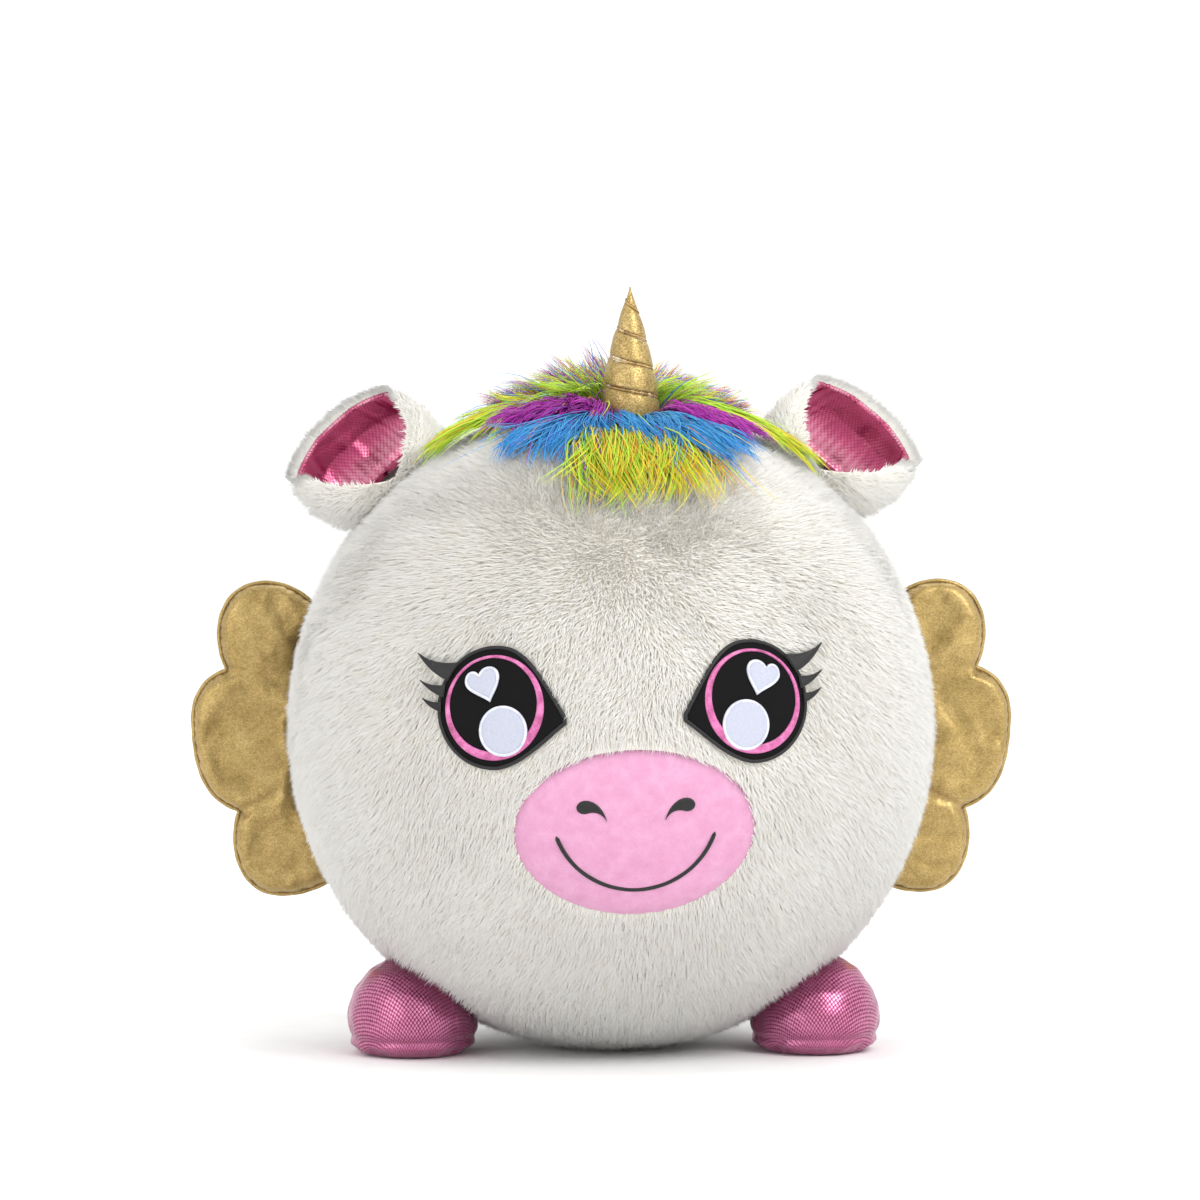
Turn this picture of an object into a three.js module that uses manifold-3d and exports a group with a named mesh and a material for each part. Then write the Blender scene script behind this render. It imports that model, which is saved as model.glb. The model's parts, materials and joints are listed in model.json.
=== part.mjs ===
// A plush unicorn: a big stuffed ball in white faux fur with an appliqué face, a gold lamé horn and
// wings, cup-shaped ears lined with pink foil fabric, a rainbow long-pile mane and tail, and two
// stuffed bootee feet. Millimetres, +Z up. The face looks along -Y and +X is the viewer's right.
// The origin is on the floor, in the middle of the flat patch that the ball rests on.
import * as THREE from 'three';
import { mergeVertices } from 'three/addons/utils/BufferGeometryUtils.js';
import Module from 'manifold-3d';

const wasm = await Module();
wasm.setup();

// ---- Driving dimensions ----

const GAP = 0.3; // clearance between pieces that lie against each other
const RAD = Math.PI / 180;

// Ball
const BALL_RADIUS = 255; // to the tips of the pile
const BALL_FLAT = 4; // how far the ball's underside is pressed flat
const COVER_THICKNESS = 14; // knitted backing and pile together
const BACKING = 2; // the knitted backing alone
const FACE_PANEL_ANGLE = 110; // how far round the ball the front panel reaches
const SIDE_PANEL_ANGLE = 70;
const BASE_PANEL_RADIUS = 85;
const SEAM_GAP = 0.6;

// Face, as angles on the ball: azimuth towards +X, elevation up
const FACE_ROLL = 1.35; // the face sits on the ball turned by this much
const EYE_AZIMUTH = 22.96;
const EYES_TURN = -0.93; // the pair of eyes is sewn this far to one side
const EYE_ELEVATION = 7.65;
const EYE_PATCH_RADIUS = 46.5;
const EYE_PATCH_THICKNESS = 2.5;
const EYE_POCKET_DEPTH = 5.5; // the patch is sewn down into the pile
const EMBROIDERY_THICKNESS = 1;
const RING_RADIUS = 39.4;
const RING_INNER_RADIUS = 33.6;
const RING_INNER_OFFSET = [-0.8, 2.2];
const GLINT_RADIUS = 19;
const GLINT_CENTRE = [8.3, -17.6];
const MUZZLE_AZIMUTH = 0.6;
const MUZZLE_ELEVATION = -15.3;
const MUZZLE_HALF_WIDTH = 91.3;
const MUZZLE_HALF_HEIGHT = 65.3;
const MUZZLE_DEPTH = 4; // how far the panel's outer face lies below the tips of the pile
const SMILE_RADIUS = 62.5;
const SMILE_HALF_ANGLE = 71.6;
const SMILE_CENTRE_Y = 21.1;
const SMILE_STROKE = 3;

// Horn
const HORN_X = 12;
const HORN_Y = -45;
const HORN_HEIGHT = 100.5;
const HORN_RADIUS = 22.8;
const HORN_BULGE = 1.65; // power of the side's curve: 1 is a straight cone
const HORN_WALL = 1.2;
const HORN_SINK = 6.711; // how far the horn's base is set down into the pile
const HORN_TILT = 12; // how far it can be tipped each way, in degrees
const THREAD_RADIUS = 0.5;
const THREAD_PITCH = 22;
const THREAD_FRONT_HEIGHT = 19.5; // where the lowest turn crosses the horn's front
const THREAD_STAND_OFF = 1.8;

// Mane and tail
const MANE_THICKNESS = 16;
const MANE_HALF_WIDTH = 86;
const MANE_HALF_LENGTH = 82;
const MANE_CENTRE_Y = -22;
const MANE_CENTRE_X = 6;
const MANE_STRIP_HALF_WIDTH = 58;
const MANE_STRIP_LOW = 70; // height of the strip's lower end above the ball's centre
const TAIL_LENGTH = 165;
const TAIL_RADIUS = 30;
const TAIL_FLATNESS = 0.7;
const TAIL_ROOT_HEIGHT = -30; // from the ball's centre
const TAIL_LEAN = 6;

// Ears
const EAR_ANGLE = 41; // from the vertical
const EAR_HALF_WIDTH = 62;
const EAR_HALF_DEPTH = 31;
const EAR_HALF_HEIGHT = 48;
const EAR_CENTRE_HEIGHT = 28; // of the cup's widest place, above the pivot line
const EAR_SWING = 20; // how far it can be bent each way, in degrees
const EAR_CLEARANCE = 1.5; // from the pivot line up to the bottom of the cup
const EAR_FUR = 9;
const LINING_THICKNESS = 2;
const EAR_PIVOT_GAP = 2;
const EAR_ROOT_HALF_WIDTH = 30;

// Wings
const WING_HINGE_Y = 108;
const WING_HALF_THICKNESS = 9;
const WING_EDGE = 8; // width of the rounded edge
const WING_CLOTH = 1.5;
const WING_ROOT_HALF_LENGTH = 60;
const WING_BALL_CLEARANCE = 12;

// Feet
const FOOT_OUTSET = 22.87; // from the ball's side, at half the foot's height, out to the foot's middle
const FOOT_Y = -38;
const FOOT_RADIUS = 49.5;
const FOOT_HEIGHT = 74;
const FOOT_LENGTH_RATIO = 1.1;
const FOOT_CLOTH = 2;
const SOLE_HEIGHT = 14;

// Derived
const BALL_Z = BALL_RADIUS - BALL_FLAT;
const BACKING_RADIUS = BALL_RADIUS - COVER_THICKNESS;
const FAR = 2 * BALL_RADIUS; // longer than anything that has to be cut
const EYE_PATCH_RADIUS_IN = BALL_RADIUS - EYE_POCKET_DEPTH;
const EYE_PATCH_RADIUS_OUT = EYE_PATCH_RADIUS_IN + EYE_PATCH_THICKNESS;
const MUZZLE_RADIUS = BALL_RADIUS - MUZZLE_DEPTH;
const HORN_BASE_HEIGHT = Math.sqrt(BALL_RADIUS ** 2 - HORN_X ** 2 - HORN_Y ** 2) - HORN_SINK;
const HORN_LIFT = HORN_RADIUS * Math.sin(HORN_TILT * RAD); // how far the horn's rim dips when tipped
const WING_PLANE_RADIUS = Math.sqrt(BALL_RADIUS ** 2 - WING_HINGE_Y ** 2); // of the ball, level with the wings
const WING_HINGE_X = WING_PLANE_RADIUS + WING_BALL_CLEARANCE;
const FOOT_REACH = Math.sqrt(BALL_RADIUS ** 2 - (BALL_Z - FOOT_HEIGHT / 2) ** 2) + FOOT_OUTSET;
const FOOT_X = Math.sqrt(FOOT_REACH ** 2 - FOOT_Y ** 2);

// ---- Materials ----

function fabric(color, roughness = 0.9, metalness = 0) {
  return new THREE.MeshStandardMaterial({ color, roughness, metalness });
}

const whiteFur = fabric(0xe9e7df, 0.95);
const pinkVelboa = fabric(0xe2a9c6, 0.85);
const blackThread = fabric(0x0d0b0e, 0.6);
const pinkThread = fabric(0xd866ab, 0.45);
const paleFelt = fabric(0xcdd0dd, 0.9);
const goldLame = fabric(0xb89c64, 0.4, 0.6);
const pinkFoil = fabric(0xb14f7a, 0.3, 0.4);
const rainbowPile = fabric(0xb8d63c, 0.8);
const fibreFill = fabric(0xf4f4f1, 1);

// ---- Solids ----

function solidOf(geometry) {
  const bare = geometry.clone();
  bare.deleteAttribute('normal');
  bare.deleteAttribute('uv');
  const merged = mergeVertices(bare, 1e-4);
  return new wasm.Manifold(new wasm.Mesh({
    numProp: 3,
    vertProperties: new Float32Array(merged.attributes.position.array),
    triVerts: new Uint32Array(merged.index.array),
  }));
}

function geometryOf(solid) {
  const { vertProperties, triVerts } = solid.getMesh();
  const geometry = new THREE.BufferGeometry();
  geometry.setAttribute('position', new THREE.BufferAttribute(vertProperties, 3));
  geometry.setIndex(new THREE.BufferAttribute(triVerts, 1));
  geometry.computeVertexNormals();
  return geometry;
}

function node(name, solid, material) {
  const mesh = new THREE.Mesh(geometryOf(solid), material);
  mesh.name = name;
  return mesh;
}

function boxSolid(low, high) {
  const size = high.map((value, i) => value - low[i]);
  const geometry = new THREE.BoxGeometry(...size);
  geometry.translate(...low.map((value, i) => value + size[i] / 2));
  return solidOf(geometry);
}

function cylinderSolid(radius, low, high, x = 0, y = 0, sides = 24) {
  const geometry = new THREE.CylinderGeometry(radius, radius, high - low, sides);
  geometry.rotateX(Math.PI / 2);
  geometry.translate(x, y, (low + high) / 2);
  return solidOf(geometry);
}

function ellipsoidSolid(radii, centre, around = 32, rings = 16) {
  const geometry = new THREE.SphereGeometry(1, around, rings);
  geometry.rotateX(Math.PI / 2);
  geometry.scale(...radii);
  geometry.translate(...centre);
  return solidOf(geometry);
}

function ballSolid(radius) {
  return ellipsoidSolid([radius, radius, radius], [0, 0, 0]);
}

function ballShell(inner, outer) {
  return ballSolid(outer).subtract(ballSolid(inner));
}

// A closed outline moved outwards by a small distance, or inwards where it is negative.
function offsetOutline(points, distance) {
  const turn = THREE.ShapeUtils.area(points) > 0 ? 1 : -1;
  return points.map((point, i) => {
    const before = points[(i + points.length - 1) % points.length];
    const after = points[(i + 1) % points.length];
    const along = new THREE.Vector2().subVectors(after, before).normalize();
    return new THREE.Vector2(point.x + along.y * turn * distance, point.y - along.x * turn * distance);
  });
}

// An outline's points, with no point twice.
function outlineOf(shape, divisions) {
  const points = shape.getPoints(divisions);
  return points.filter((point, i) => point.distanceTo(points[(i + 1) % points.length]) > 1e-3);
}

function circleOutline(radius, [x, y], count) {
  return Array.from({ length: count }, (unused, i) => {
    const angle = (2 * Math.PI * i) / count;
    return new THREE.Vector2(x + radius * Math.cos(angle), y + radius * Math.sin(angle));
  });
}

function prism(outline, low, high, options = { bevelEnabled: false }) {
  const geometry = new THREE.ExtrudeGeometry(new THREE.Shape(outline), { depth: high - low, ...options });
  geometry.translate(0, 0, low);
  return geometry;
}

// The frame of a flat pattern laid on the ball: x to the viewer's right, y up, z out of the ball.
function patternFrame(azimuth, elevation) {
  const a = azimuth * RAD;
  const e = elevation * RAD;
  const out = new THREE.Vector3(Math.sin(a) * Math.cos(e), -Math.cos(a) * Math.cos(e), Math.sin(e));
  const right = new THREE.Vector3(Math.cos(a), Math.sin(a), 0);
  const up = new THREE.Vector3().crossVectors(out, right);
  const frame = new THREE.Matrix4().makeBasis(right, up, out);
  return new THREE.Matrix4().makeRotationY(-FACE_ROLL * RAD).multiply(frame);
}

// A flat outline pushed into the ball along its frame's z axis.
function patternPrism(outline, frame) {
  const geometry = prism(outline, BALL_RADIUS / 2, BALL_RADIUS * 1.1);
  geometry.applyMatrix4(frame);
  return solidOf(geometry);
}

// The part of a spherical layer inside an outline: a piece of cloth curved to the ball.
function patch(outline, frame, inner, outer) {
  return ballShell(inner, outer).intersect(patternPrism(outline, frame));
}

// ---- The face patterns, in millimetres on the flat cloth ----

// side is 1 for the viewer's left eye, whose inner corner points to +x, and -1 for the right eye.
function mirrored(outline, side) {
  const points = outline.map((point) => new THREE.Vector2(point.x * side, point.y));
  return side > 0 ? points : points.reverse();
}

function eyePatchOutline() {
  const shape = new THREE.Shape();
  const start = 80 * RAD;
  const end = 275 * RAD;
  shape.absarc(0, 0, EYE_PATCH_RADIUS, start, end, false);
  shape.bezierCurveTo(26, -42, 42, -23, 56.3, -12);
  shape.lineTo(56.1, -6.6);
  const [x, y] = [EYE_PATCH_RADIUS * Math.cos(start), EYE_PATCH_RADIUS * Math.sin(start)];
  shape.bezierCurveTo(36, 27, 24, 42.5, x, y);
  return outlineOf(shape, 7);
}

function spike(low, lowBend, tip, highBend, high) {
  const shape = new THREE.Shape();
  shape.moveTo(...low);
  shape.quadraticCurveTo(...lowBend, ...tip);
  shape.quadraticCurveTo(...highBend, ...high);
  return outlineOf(shape, 4);
}

const LASHES = [
  spike([-38, 20], [-54, 26.5], [-65.5, 41.3], [-50, 31.5], [-30, 34]),
  spike([-41, 7.5], [-54, 12.3], [-61.7, 20.6], [-52.5, 15.5], [-40, 17]),
  spike([-43, -3.5], [-53, -0.3], [-58.8, 7], [-51.5, 3.5], [-43, 4]),
];

function heartOutline() {
  const shape = new THREE.Shape();
  shape.moveTo(-12.6, 24.6);
  shape.bezierCurveTo(-16, 29.3, -24.2, 26.8, -23.3, 18.6);
  shape.bezierCurveTo(-22.5, 11, -9, 8.6, -2.2, 4);
  shape.bezierCurveTo(0, 10, 5.3, 17.5, 3.9, 24.7);
  shape.bezierCurveTo(2, 32.8, -9.5, 32.8, -12.6, 24.6);
  return outlineOf(shape, 6);
}

function muzzleOutline() {
  return circleOutline(1, [0, 0], 32).map(
    (point) => new THREE.Vector2(point.x * MUZZLE_HALF_WIDTH, point.y * MUZZLE_HALF_HEIGHT),
  );
}

// The viewer's right nostril: a comma, fat at its outer end.
function nostrilOutline() {
  const shape = new THREE.Shape();
  shape.moveTo(44.3, 25.2);
  shape.bezierCurveTo(42, 33.4, 26, 32.3, 21.8, 14.4);
  shape.bezierCurveTo(25.6, 20.7, 31, 22.2, 36, 20.4);
  shape.bezierCurveTo(40, 18.9, 44.6, 20.6, 44.3, 25.2);
  return outlineOf(shape, 6);
}

function smileOutline() {
  const shape = new THREE.Shape();
  const low = (-90 - SMILE_HALF_ANGLE) * RAD;
  const high = (-90 + SMILE_HALF_ANGLE) * RAD;
  const half = SMILE_STROKE / 2;
  const end = (angle) => [SMILE_RADIUS * Math.cos(angle), SMILE_CENTRE_Y + SMILE_RADIUS * Math.sin(angle)];
  shape.absarc(0, SMILE_CENTRE_Y, SMILE_RADIUS + half, low, high, false);
  shape.absarc(...end(high), half, high, high + Math.PI, false);
  shape.absarc(0, SMILE_CENTRE_Y, SMILE_RADIUS - half, high, low, true);
  shape.absarc(...end(low), half, low + Math.PI, low + 2 * Math.PI, false);
  return outlineOf(shape, 5);
}

// ---- Assembly ----

const unicorn = new THREE.Group();
const ball = new THREE.Group();
ball.position.z = BALL_Z;
unicorn.add(ball);

// ---- Face ----

const pockets = []; // what has to be cut out of the ball's cover

const muzzleFrame = patternFrame(MUZZLE_AZIMUTH, MUZZLE_ELEVATION);
ball.add(node('muzzle_panel', patch(muzzleOutline(), muzzleFrame, BACKING_RADIUS, MUZZLE_RADIUS), pinkVelboa));
pockets.push(patternPrism(offsetOutline(muzzleOutline(), SEAM_GAP), muzzleFrame));

const stitchIn = MUZZLE_RADIUS + GAP;
const stitchOut = stitchIn + EMBROIDERY_THICKNESS;
for (const [name, side] of [['nostril_left', -1], ['nostril_right', 1]]) {
  ball.add(node(name, patch(mirrored(nostrilOutline(), side), muzzleFrame, stitchIn, stitchOut), blackThread));
}
ball.add(node('smile', patch(smileOutline(), muzzleFrame, stitchIn, stitchOut), blackThread));

for (const [name, side] of [['left', 1], ['right', -1]]) {
  const frame = patternFrame(EYES_TURN - side * EYE_AZIMUTH, EYE_ELEVATION);
  const outlines = [eyePatchOutline(), ...LASHES].map((outline) => mirrored(outline, side));
  const patches = outlines.map((outline) => patch(outline, frame, EYE_PATCH_RADIUS_IN, EYE_PATCH_RADIUS_OUT));
  const eyePatch = patches.reduce((whole, lash) => whole.add(lash));
  ball.add(node(`eye_patch_${name}`, eyePatch, blackThread));
  for (const outline of outlines) {
    const hole = patternPrism(offsetOutline(outline, SEAM_GAP), frame);
    pockets.push(hole.intersect(ballShell(EYE_PATCH_RADIUS_IN - GAP, FAR)));
  }

  const inner = EYE_PATCH_RADIUS_OUT + GAP;
  const outer = inner + EMBROIDERY_THICKNESS;
  const glint = mirrored(circleOutline(GLINT_RADIUS, GLINT_CENTRE, 20), side);
  const ringHole = mirrored(circleOutline(RING_INNER_RADIUS, RING_INNER_OFFSET, 24), side);
  const ring = patch(circleOutline(RING_RADIUS, [0, 0], 24), frame, inner, outer)
    .subtract(patternPrism(ringHole, frame))
    .subtract(patternPrism(offsetOutline(glint, GAP), frame));
  ball.add(node(`iris_ring_${name}`, ring, pinkThread));
  ball.add(node(`glint_${name}`, patch(glint, frame, inner, outer), paleFelt));
  ball.add(node(`heart_${name}`, patch(mirrored(heartOutline(), side), frame, inner, outer), paleFelt));
}

// ---- Feet: a dome of three panels over a stuffed core, with a sole that wraps up the side ----

function footDome(inset) {
  const profile = [
    [0, 0], [0.76, 0], [0.92, 0.07], [1, 0.24], [0.98, 0.44], [0.87, 0.66], [0.68, 0.85], [0.36, 0.97], [0, 1],
  ];
  const radius = FOOT_RADIUS - inset;
  const height = FOOT_HEIGHT - 2 * inset;
  const points = profile.map(([r, z]) => new THREE.Vector2(r * radius, z * height));
  const geometry = new THREE.LatheGeometry(points, 16);
  geometry.rotateX(Math.PI / 2);
  geometry.scale(1, FOOT_LENGTH_RATIO, 1);
  geometry.translate(0, 0, inset);
  return geometry;
}

for (const [name, side] of [['left', -1], ['right', 1]]) {
  const foot = new THREE.Group();
  foot.position.set(side * FOOT_X, FOOT_Y, 0);
  foot.updateMatrix();
  const toBall = new THREE.Matrix4().makeTranslation(0, 0, -BALL_Z).multiply(foot.matrix);
  const hollow = solidOf(new THREE.SphereGeometry(BACKING_RADIUS + BACKING, 32, 16)
    .rotateX(Math.PI / 2).applyMatrix4(toBall.clone().invert()));
  const skin = solidOf(footDome(0)).subtract(solidOf(footDome(FOOT_CLOTH))).subtract(hollow);
  const low = [-FAR, -FAR, -FAR];
  const high = [FAR, FAR, FAR];
  const below = boxSolid(low, [FAR, FAR, SOLE_HEIGHT]);
  const above = boxSolid([-FAR, -FAR, SOLE_HEIGHT + GAP], high);
  const front = boxSolid([-FAR, -FAR, SOLE_HEIGHT + GAP], [FAR, -GAP / 2, FAR]);
  const back = boxSolid([-FAR, GAP / 2, SOLE_HEIGHT + GAP], high);
  foot.add(node(`foot_sole_${name}`, skin.intersect(below), pinkFoil));
  foot.add(node(`foot_front_${name}`, skin.intersect(above).intersect(front), pinkFoil));
  foot.add(node(`foot_back_${name}`, skin.intersect(above).intersect(back), pinkFoil));
  const core = solidOf(footDome(FOOT_CLOTH + GAP)).subtract(hollow);
  foot.add(node(`foot_filling_${name}`, core, fibreFill));
  unicorn.add(foot);
  pockets.push(solidOf(footDome(-SEAM_GAP).applyMatrix4(toBall)));
}

// ---- Horn: a lamé cone over a stuffed core, wound with gold thread ----

function hornRadius(height) {
  return HORN_RADIUS * (1 - (Math.max(height, 0) / HORN_HEIGHT) ** HORN_BULGE);
}

function hornLathe(inset, low, high, steps = 7) {
  const points = [new THREE.Vector2(0, low)];
  for (let i = 0; i < steps; i += 1) {
    const height = low + ((high - low) * i) / steps;
    points.push(new THREE.Vector2(Math.max(hornRadius(height) - inset, 0.3), height));
  }
  points.push(new THREE.Vector2(0, high));
  return solidOf(new THREE.LatheGeometry(points, 16).rotateX(Math.PI / 2));
}

class ThreadPath extends THREE.Curve {
  getPoint(t, target = new THREE.Vector3()) {
    const height = 4 + t * (HORN_HEIGHT - 12);
    const angle = -Math.PI / 2 - (2 * Math.PI * (height - THREAD_FRONT_HEIGHT)) / THREAD_PITCH;
    const radius = hornRadius(height) + THREAD_STAND_OFF;
    return target.set(radius * Math.cos(angle), radius * Math.sin(angle), height);
  }
}

const horn = new THREE.Group();
horn.position.set(HORN_X, HORN_Y, BALL_Z + HORN_BASE_HEIGHT);
unicorn.add(horn);

const hornCore = hornLathe(HORN_WALL, -1, HORN_HEIGHT - 5);
horn.add(node('horn_cover', hornLathe(0, 0, HORN_HEIGHT).subtract(hornCore), goldLame));
horn.add(node('horn_filling', hornLathe(HORN_WALL + GAP, 0, HORN_HEIGHT - 8), fibreFill));
const threadSection = new THREE.Shape(circleOutline(THREAD_RADIUS, [0, 0], 5));
const threadSteps = Math.round(((HORN_HEIGHT - 12) / THREAD_PITCH) * 12);
const threadOptions = { steps: threadSteps, extrudePath: new ThreadPath() };
horn.add(node('horn_thread', solidOf(new THREE.ExtrudeGeometry(threadSection, threadOptions)), goldLame));
pockets.push(cylinderSolid(
  HORN_RADIUS + HORN_LIFT, HORN_BASE_HEIGHT - HORN_LIFT - GAP, FAR, HORN_X, HORN_Y,
));

// ---- Mane: a long-pile patch round the horn, and a strip of it down the back of the head ----

const maneShell = ballShell(BALL_RADIUS + GAP, BALL_RADIUS + MANE_THICKNESS);
const maneOutline = circleOutline(1, [0, 0], 24).map((point) => new THREE.Vector2(
  MANE_CENTRE_X + point.x * MANE_HALF_WIDTH,
  MANE_CENTRE_Y + point.y * MANE_HALF_LENGTH,
));
const hornHole = cylinderSolid(HORN_RADIUS + 2 * HORN_LIFT, 0, FAR, HORN_X, HORN_Y);
const crown = maneShell.intersect(solidOf(prism(maneOutline, 0, FAR))).subtract(hornHole);
ball.add(node('mane_crown', crown, rainbowPile));
const stripBox = boxSolid(
  [MANE_CENTRE_X - MANE_STRIP_HALF_WIDTH, MANE_CENTRE_Y, MANE_STRIP_LOW],
  [MANE_CENTRE_X + MANE_STRIP_HALF_WIDTH, FAR, FAR],
);
const strip = maneShell.intersect(stripBox).subtract(solidOf(prism(offsetOutline(maneOutline, SEAM_GAP), 0, FAR)));
ball.add(node('mane_strip', strip, rainbowPile));

// ---- Tail: a hank of the same long pile, sewn on at the middle of the back ----

const tail = new THREE.Group();
const tailRootRadius = Math.sqrt(BALL_RADIUS ** 2 - TAIL_ROOT_HEIGHT ** 2);
tail.position.set(0, tailRootRadius + TAIL_RADIUS * TAIL_FLATNESS / 2, BALL_Z + TAIL_ROOT_HEIGHT);
tail.rotation.x = TAIL_LEAN * RAD;
const tailProfile = [
  [0, 0], [0.24, -0.02], [0.52, -0.14], [0.86, -0.36], [1, -0.56], [0.86, -0.78], [0.46, -0.95], [0, -1],
].reverse();
const tailPoints = tailProfile.map(([r, z]) => new THREE.Vector2(r * TAIL_RADIUS, z * TAIL_LENGTH));
const tailGeometry = new THREE.LatheGeometry(tailPoints, 16).rotateX(Math.PI / 2).scale(1, TAIL_FLATNESS, 1);
tail.add(node('tail', solidOf(tailGeometry), rainbowPile));
unicorn.add(tail);

// ---- Ears: a fur cup with a wide window in front, lined with foil fabric ----

// The cup's underside slopes up both ways from the pivot line, so that the ear can bend over it.
function earCup(inset) {
  const radii = [EAR_HALF_WIDTH - inset, EAR_HALF_DEPTH - inset, EAR_HALF_HEIGHT - inset];
  const low = EAR_CLEARANCE + inset;
  const rise = FAR * Math.tan((EAR_SWING + 2) * RAD);
  const underside = [[-FAR, low + rise], [-FAR, -FAR], [FAR, -FAR], [FAR, low + rise], [0, low]].map(
    ([y, z]) => new THREE.Vector2(y, z),
  );
  const geometry = prism(underside, -FAR, FAR);
  geometry.applyMatrix4(new THREE.Matrix4().makeBasis(
    new THREE.Vector3(0, 1, 0),
    new THREE.Vector3(0, 0, 1),
    new THREE.Vector3(1, 0, 0),
  ));
  return ellipsoidSolid(radii, [0, 0, EAR_CENTRE_HEIGHT], 18, 10).subtract(solidOf(geometry));
}

// The window is a wedge that opens away from the ball, in the front half of the cup only.
function earWindow(side) {
  const top = 3 * EAR_HALF_HEIGHT;
  const outline = [[4, 12], [70, 66], [70, top], [-85, top], [-85, 67]].map(
    ([x, z]) => new THREE.Vector2(x * side, z),
  );
  return solidOf(prism(outline, 3, FAR).rotateX(Math.PI / 2));
}

for (const [name, side] of [['left', -1], ['right', 1]]) {
  const ear = new THREE.Group();
  const tilt = side * EAR_ANGLE * RAD + FACE_ROLL * RAD * -1;
  const reach = BALL_RADIUS + EAR_PIVOT_GAP;
  ear.position.set(reach * Math.sin(tilt), 0, BALL_Z + reach * Math.cos(tilt));
  ear.rotation.y = tilt;
  const root = boxSolid([-EAR_ROOT_HALF_WIDTH, -2.5, -0.5], [EAR_ROOT_HALF_WIDTH, 2.5, EAR_FUR]);
  const shell = earCup(0).add(root).subtract(earCup(EAR_FUR)).subtract(earWindow(side));
  const lining = earCup(EAR_FUR + GAP).subtract(earCup(EAR_FUR + GAP + LINING_THICKNESS));
  ear.add(node(`ear_shell_${name}`, shell, whiteFur));
  ear.add(node(`ear_lining_${name}`, lining.subtract(earWindow(side)), pinkFoil));
  unicorn.add(ear);
}

// ---- Wings: three lobes, two lamé layers seamed round the edge over a light filling ----

// In the wing's own plane: x out from the hinge line, y up from the ball's centre.
function wingOutline() {
  const inner = (height) => Math.sqrt(WING_PLANE_RADIUS ** 2 - height ** 2) - WING_PLANE_RADIUS;
  const root = GAP * 10;
  const shape = new THREE.Shape();
  shape.moveTo(root, -WING_ROOT_HALF_LENGTH);
  shape.lineTo(root, WING_ROOT_HALF_LENGTH);
  shape.lineTo(inner(84), 84);
  shape.bezierCurveTo(-4, 103, 24, 114, 44, 104);
  shape.bezierCurveTo(63, 96, 71, 66, 57, 38);
  shape.bezierCurveTo(82, 31, 87, 8, 84.5, -10);
  shape.bezierCurveTo(83, -42, 75, -66, 48, -74);
  shape.bezierCurveTo(58, -104, 47, -134, 26, -140);
  shape.bezierCurveTo(4, -145, -20, -136, inner(-122), -122);
  shape.lineTo(inner(-90), -90);
  return outlineOf(shape, 5);
}

// A pillow: the outline with its edge rounded over towards both faces.
function wingPillow(inset) {
  const rounding = WING_HALF_THICKNESS - inset - 1;
  const outline = offsetOutline(wingOutline(), -inset);
  const geometry = prism(outline, -1, 1, {
    bevelSize: WING_EDGE,
    bevelOffset: -WING_EDGE,
    bevelThickness: rounding,
    bevelSegments: 2,
  });
  return solidOf(geometry.rotateX(Math.PI / 2));
}

for (const [name, side] of [['left', -1], ['right', 1]]) {
  const wing = new THREE.Group();
  wing.position.set(side * WING_HINGE_X, WING_HINGE_Y, BALL_Z);
  const hollow = wingPillow(WING_CLOTH);
  const skin = wingPillow(0).subtract(hollow);
  const tab = boxSolid([-9, GAP / 2, -50], [5, GAP / 2 + WING_CLOTH, 50]).subtract(hollow);
  const front = skin.intersect(boxSolid([-FAR, -FAR, -FAR], [FAR, -GAP / 2, FAR]));
  const back = skin.intersect(boxSolid([-FAR, GAP / 2, -FAR], [FAR, FAR, FAR])).add(tab);
  const turned = (solid) => (side > 0 ? solid : solid.mirror([1, 0, 0]));
  wing.add(node(`wing_front_${name}`, turned(front), goldLame));
  wing.add(node(`wing_back_${name}`, turned(back), goldLame));
  wing.add(node(`wing_filling_${name}`, turned(wingPillow(WING_CLOTH + GAP)), fibreFill));
  unicorn.add(wing);
}

// ---- Ball: a stuffed core in five gores and a round base panel ----

const floorCut = boxSolid([-FAR, -FAR, -FAR], [FAR, FAR, -BALL_Z]);
const allPockets = wasm.Manifold.union(pockets);
const cover = ballShell(BACKING_RADIUS, BALL_RADIUS).subtract(floorCut);

// A wedge of the ball between two azimuths, held back from each by half the seam gap.
function gore(from, to) {
  const direction = (angle) => new THREE.Vector2(Math.sin(angle * RAD), -Math.cos(angle * RAD));
  const middle = (from + to) / 2;
  const apex = direction(middle).multiplyScalar(SEAM_GAP / 2 / Math.sin(((to - from) / 2) * RAD));
  const corners = [from, middle, to].map((angle) => direction(angle).multiplyScalar(FAR).add(apex));
  return solidOf(prism([apex, ...corners], -FAR, FAR));
}

const half = FACE_PANEL_ANGLE / 2;
const rear = half + SIDE_PANEL_ANGLE;
const GORES = [
  ['cover_front', -half, half],
  ['cover_side_right', half, rear],
  ['cover_back_right', rear, 180],
  ['cover_back_left', 180, 360 - rear],
  ['cover_side_left', 360 - rear, 360 - half],
];
const baseHole = cylinderSolid(BASE_PANEL_RADIUS + SEAM_GAP, -FAR, 0);
for (const [name, from, to] of GORES) {
  const panel = cover.intersect(gore(from, to)).subtract(baseHole).subtract(allPockets);
  ball.add(node(name, panel, whiteFur));
}
ball.add(node('cover_base', cover.intersect(cylinderSolid(BASE_PANEL_RADIUS, -FAR, 0)), whiteFur));
ball.add(node('body_filling', ballSolid(BACKING_RADIUS - SEAM_GAP), fibreFill));

export default unicorn;
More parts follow.
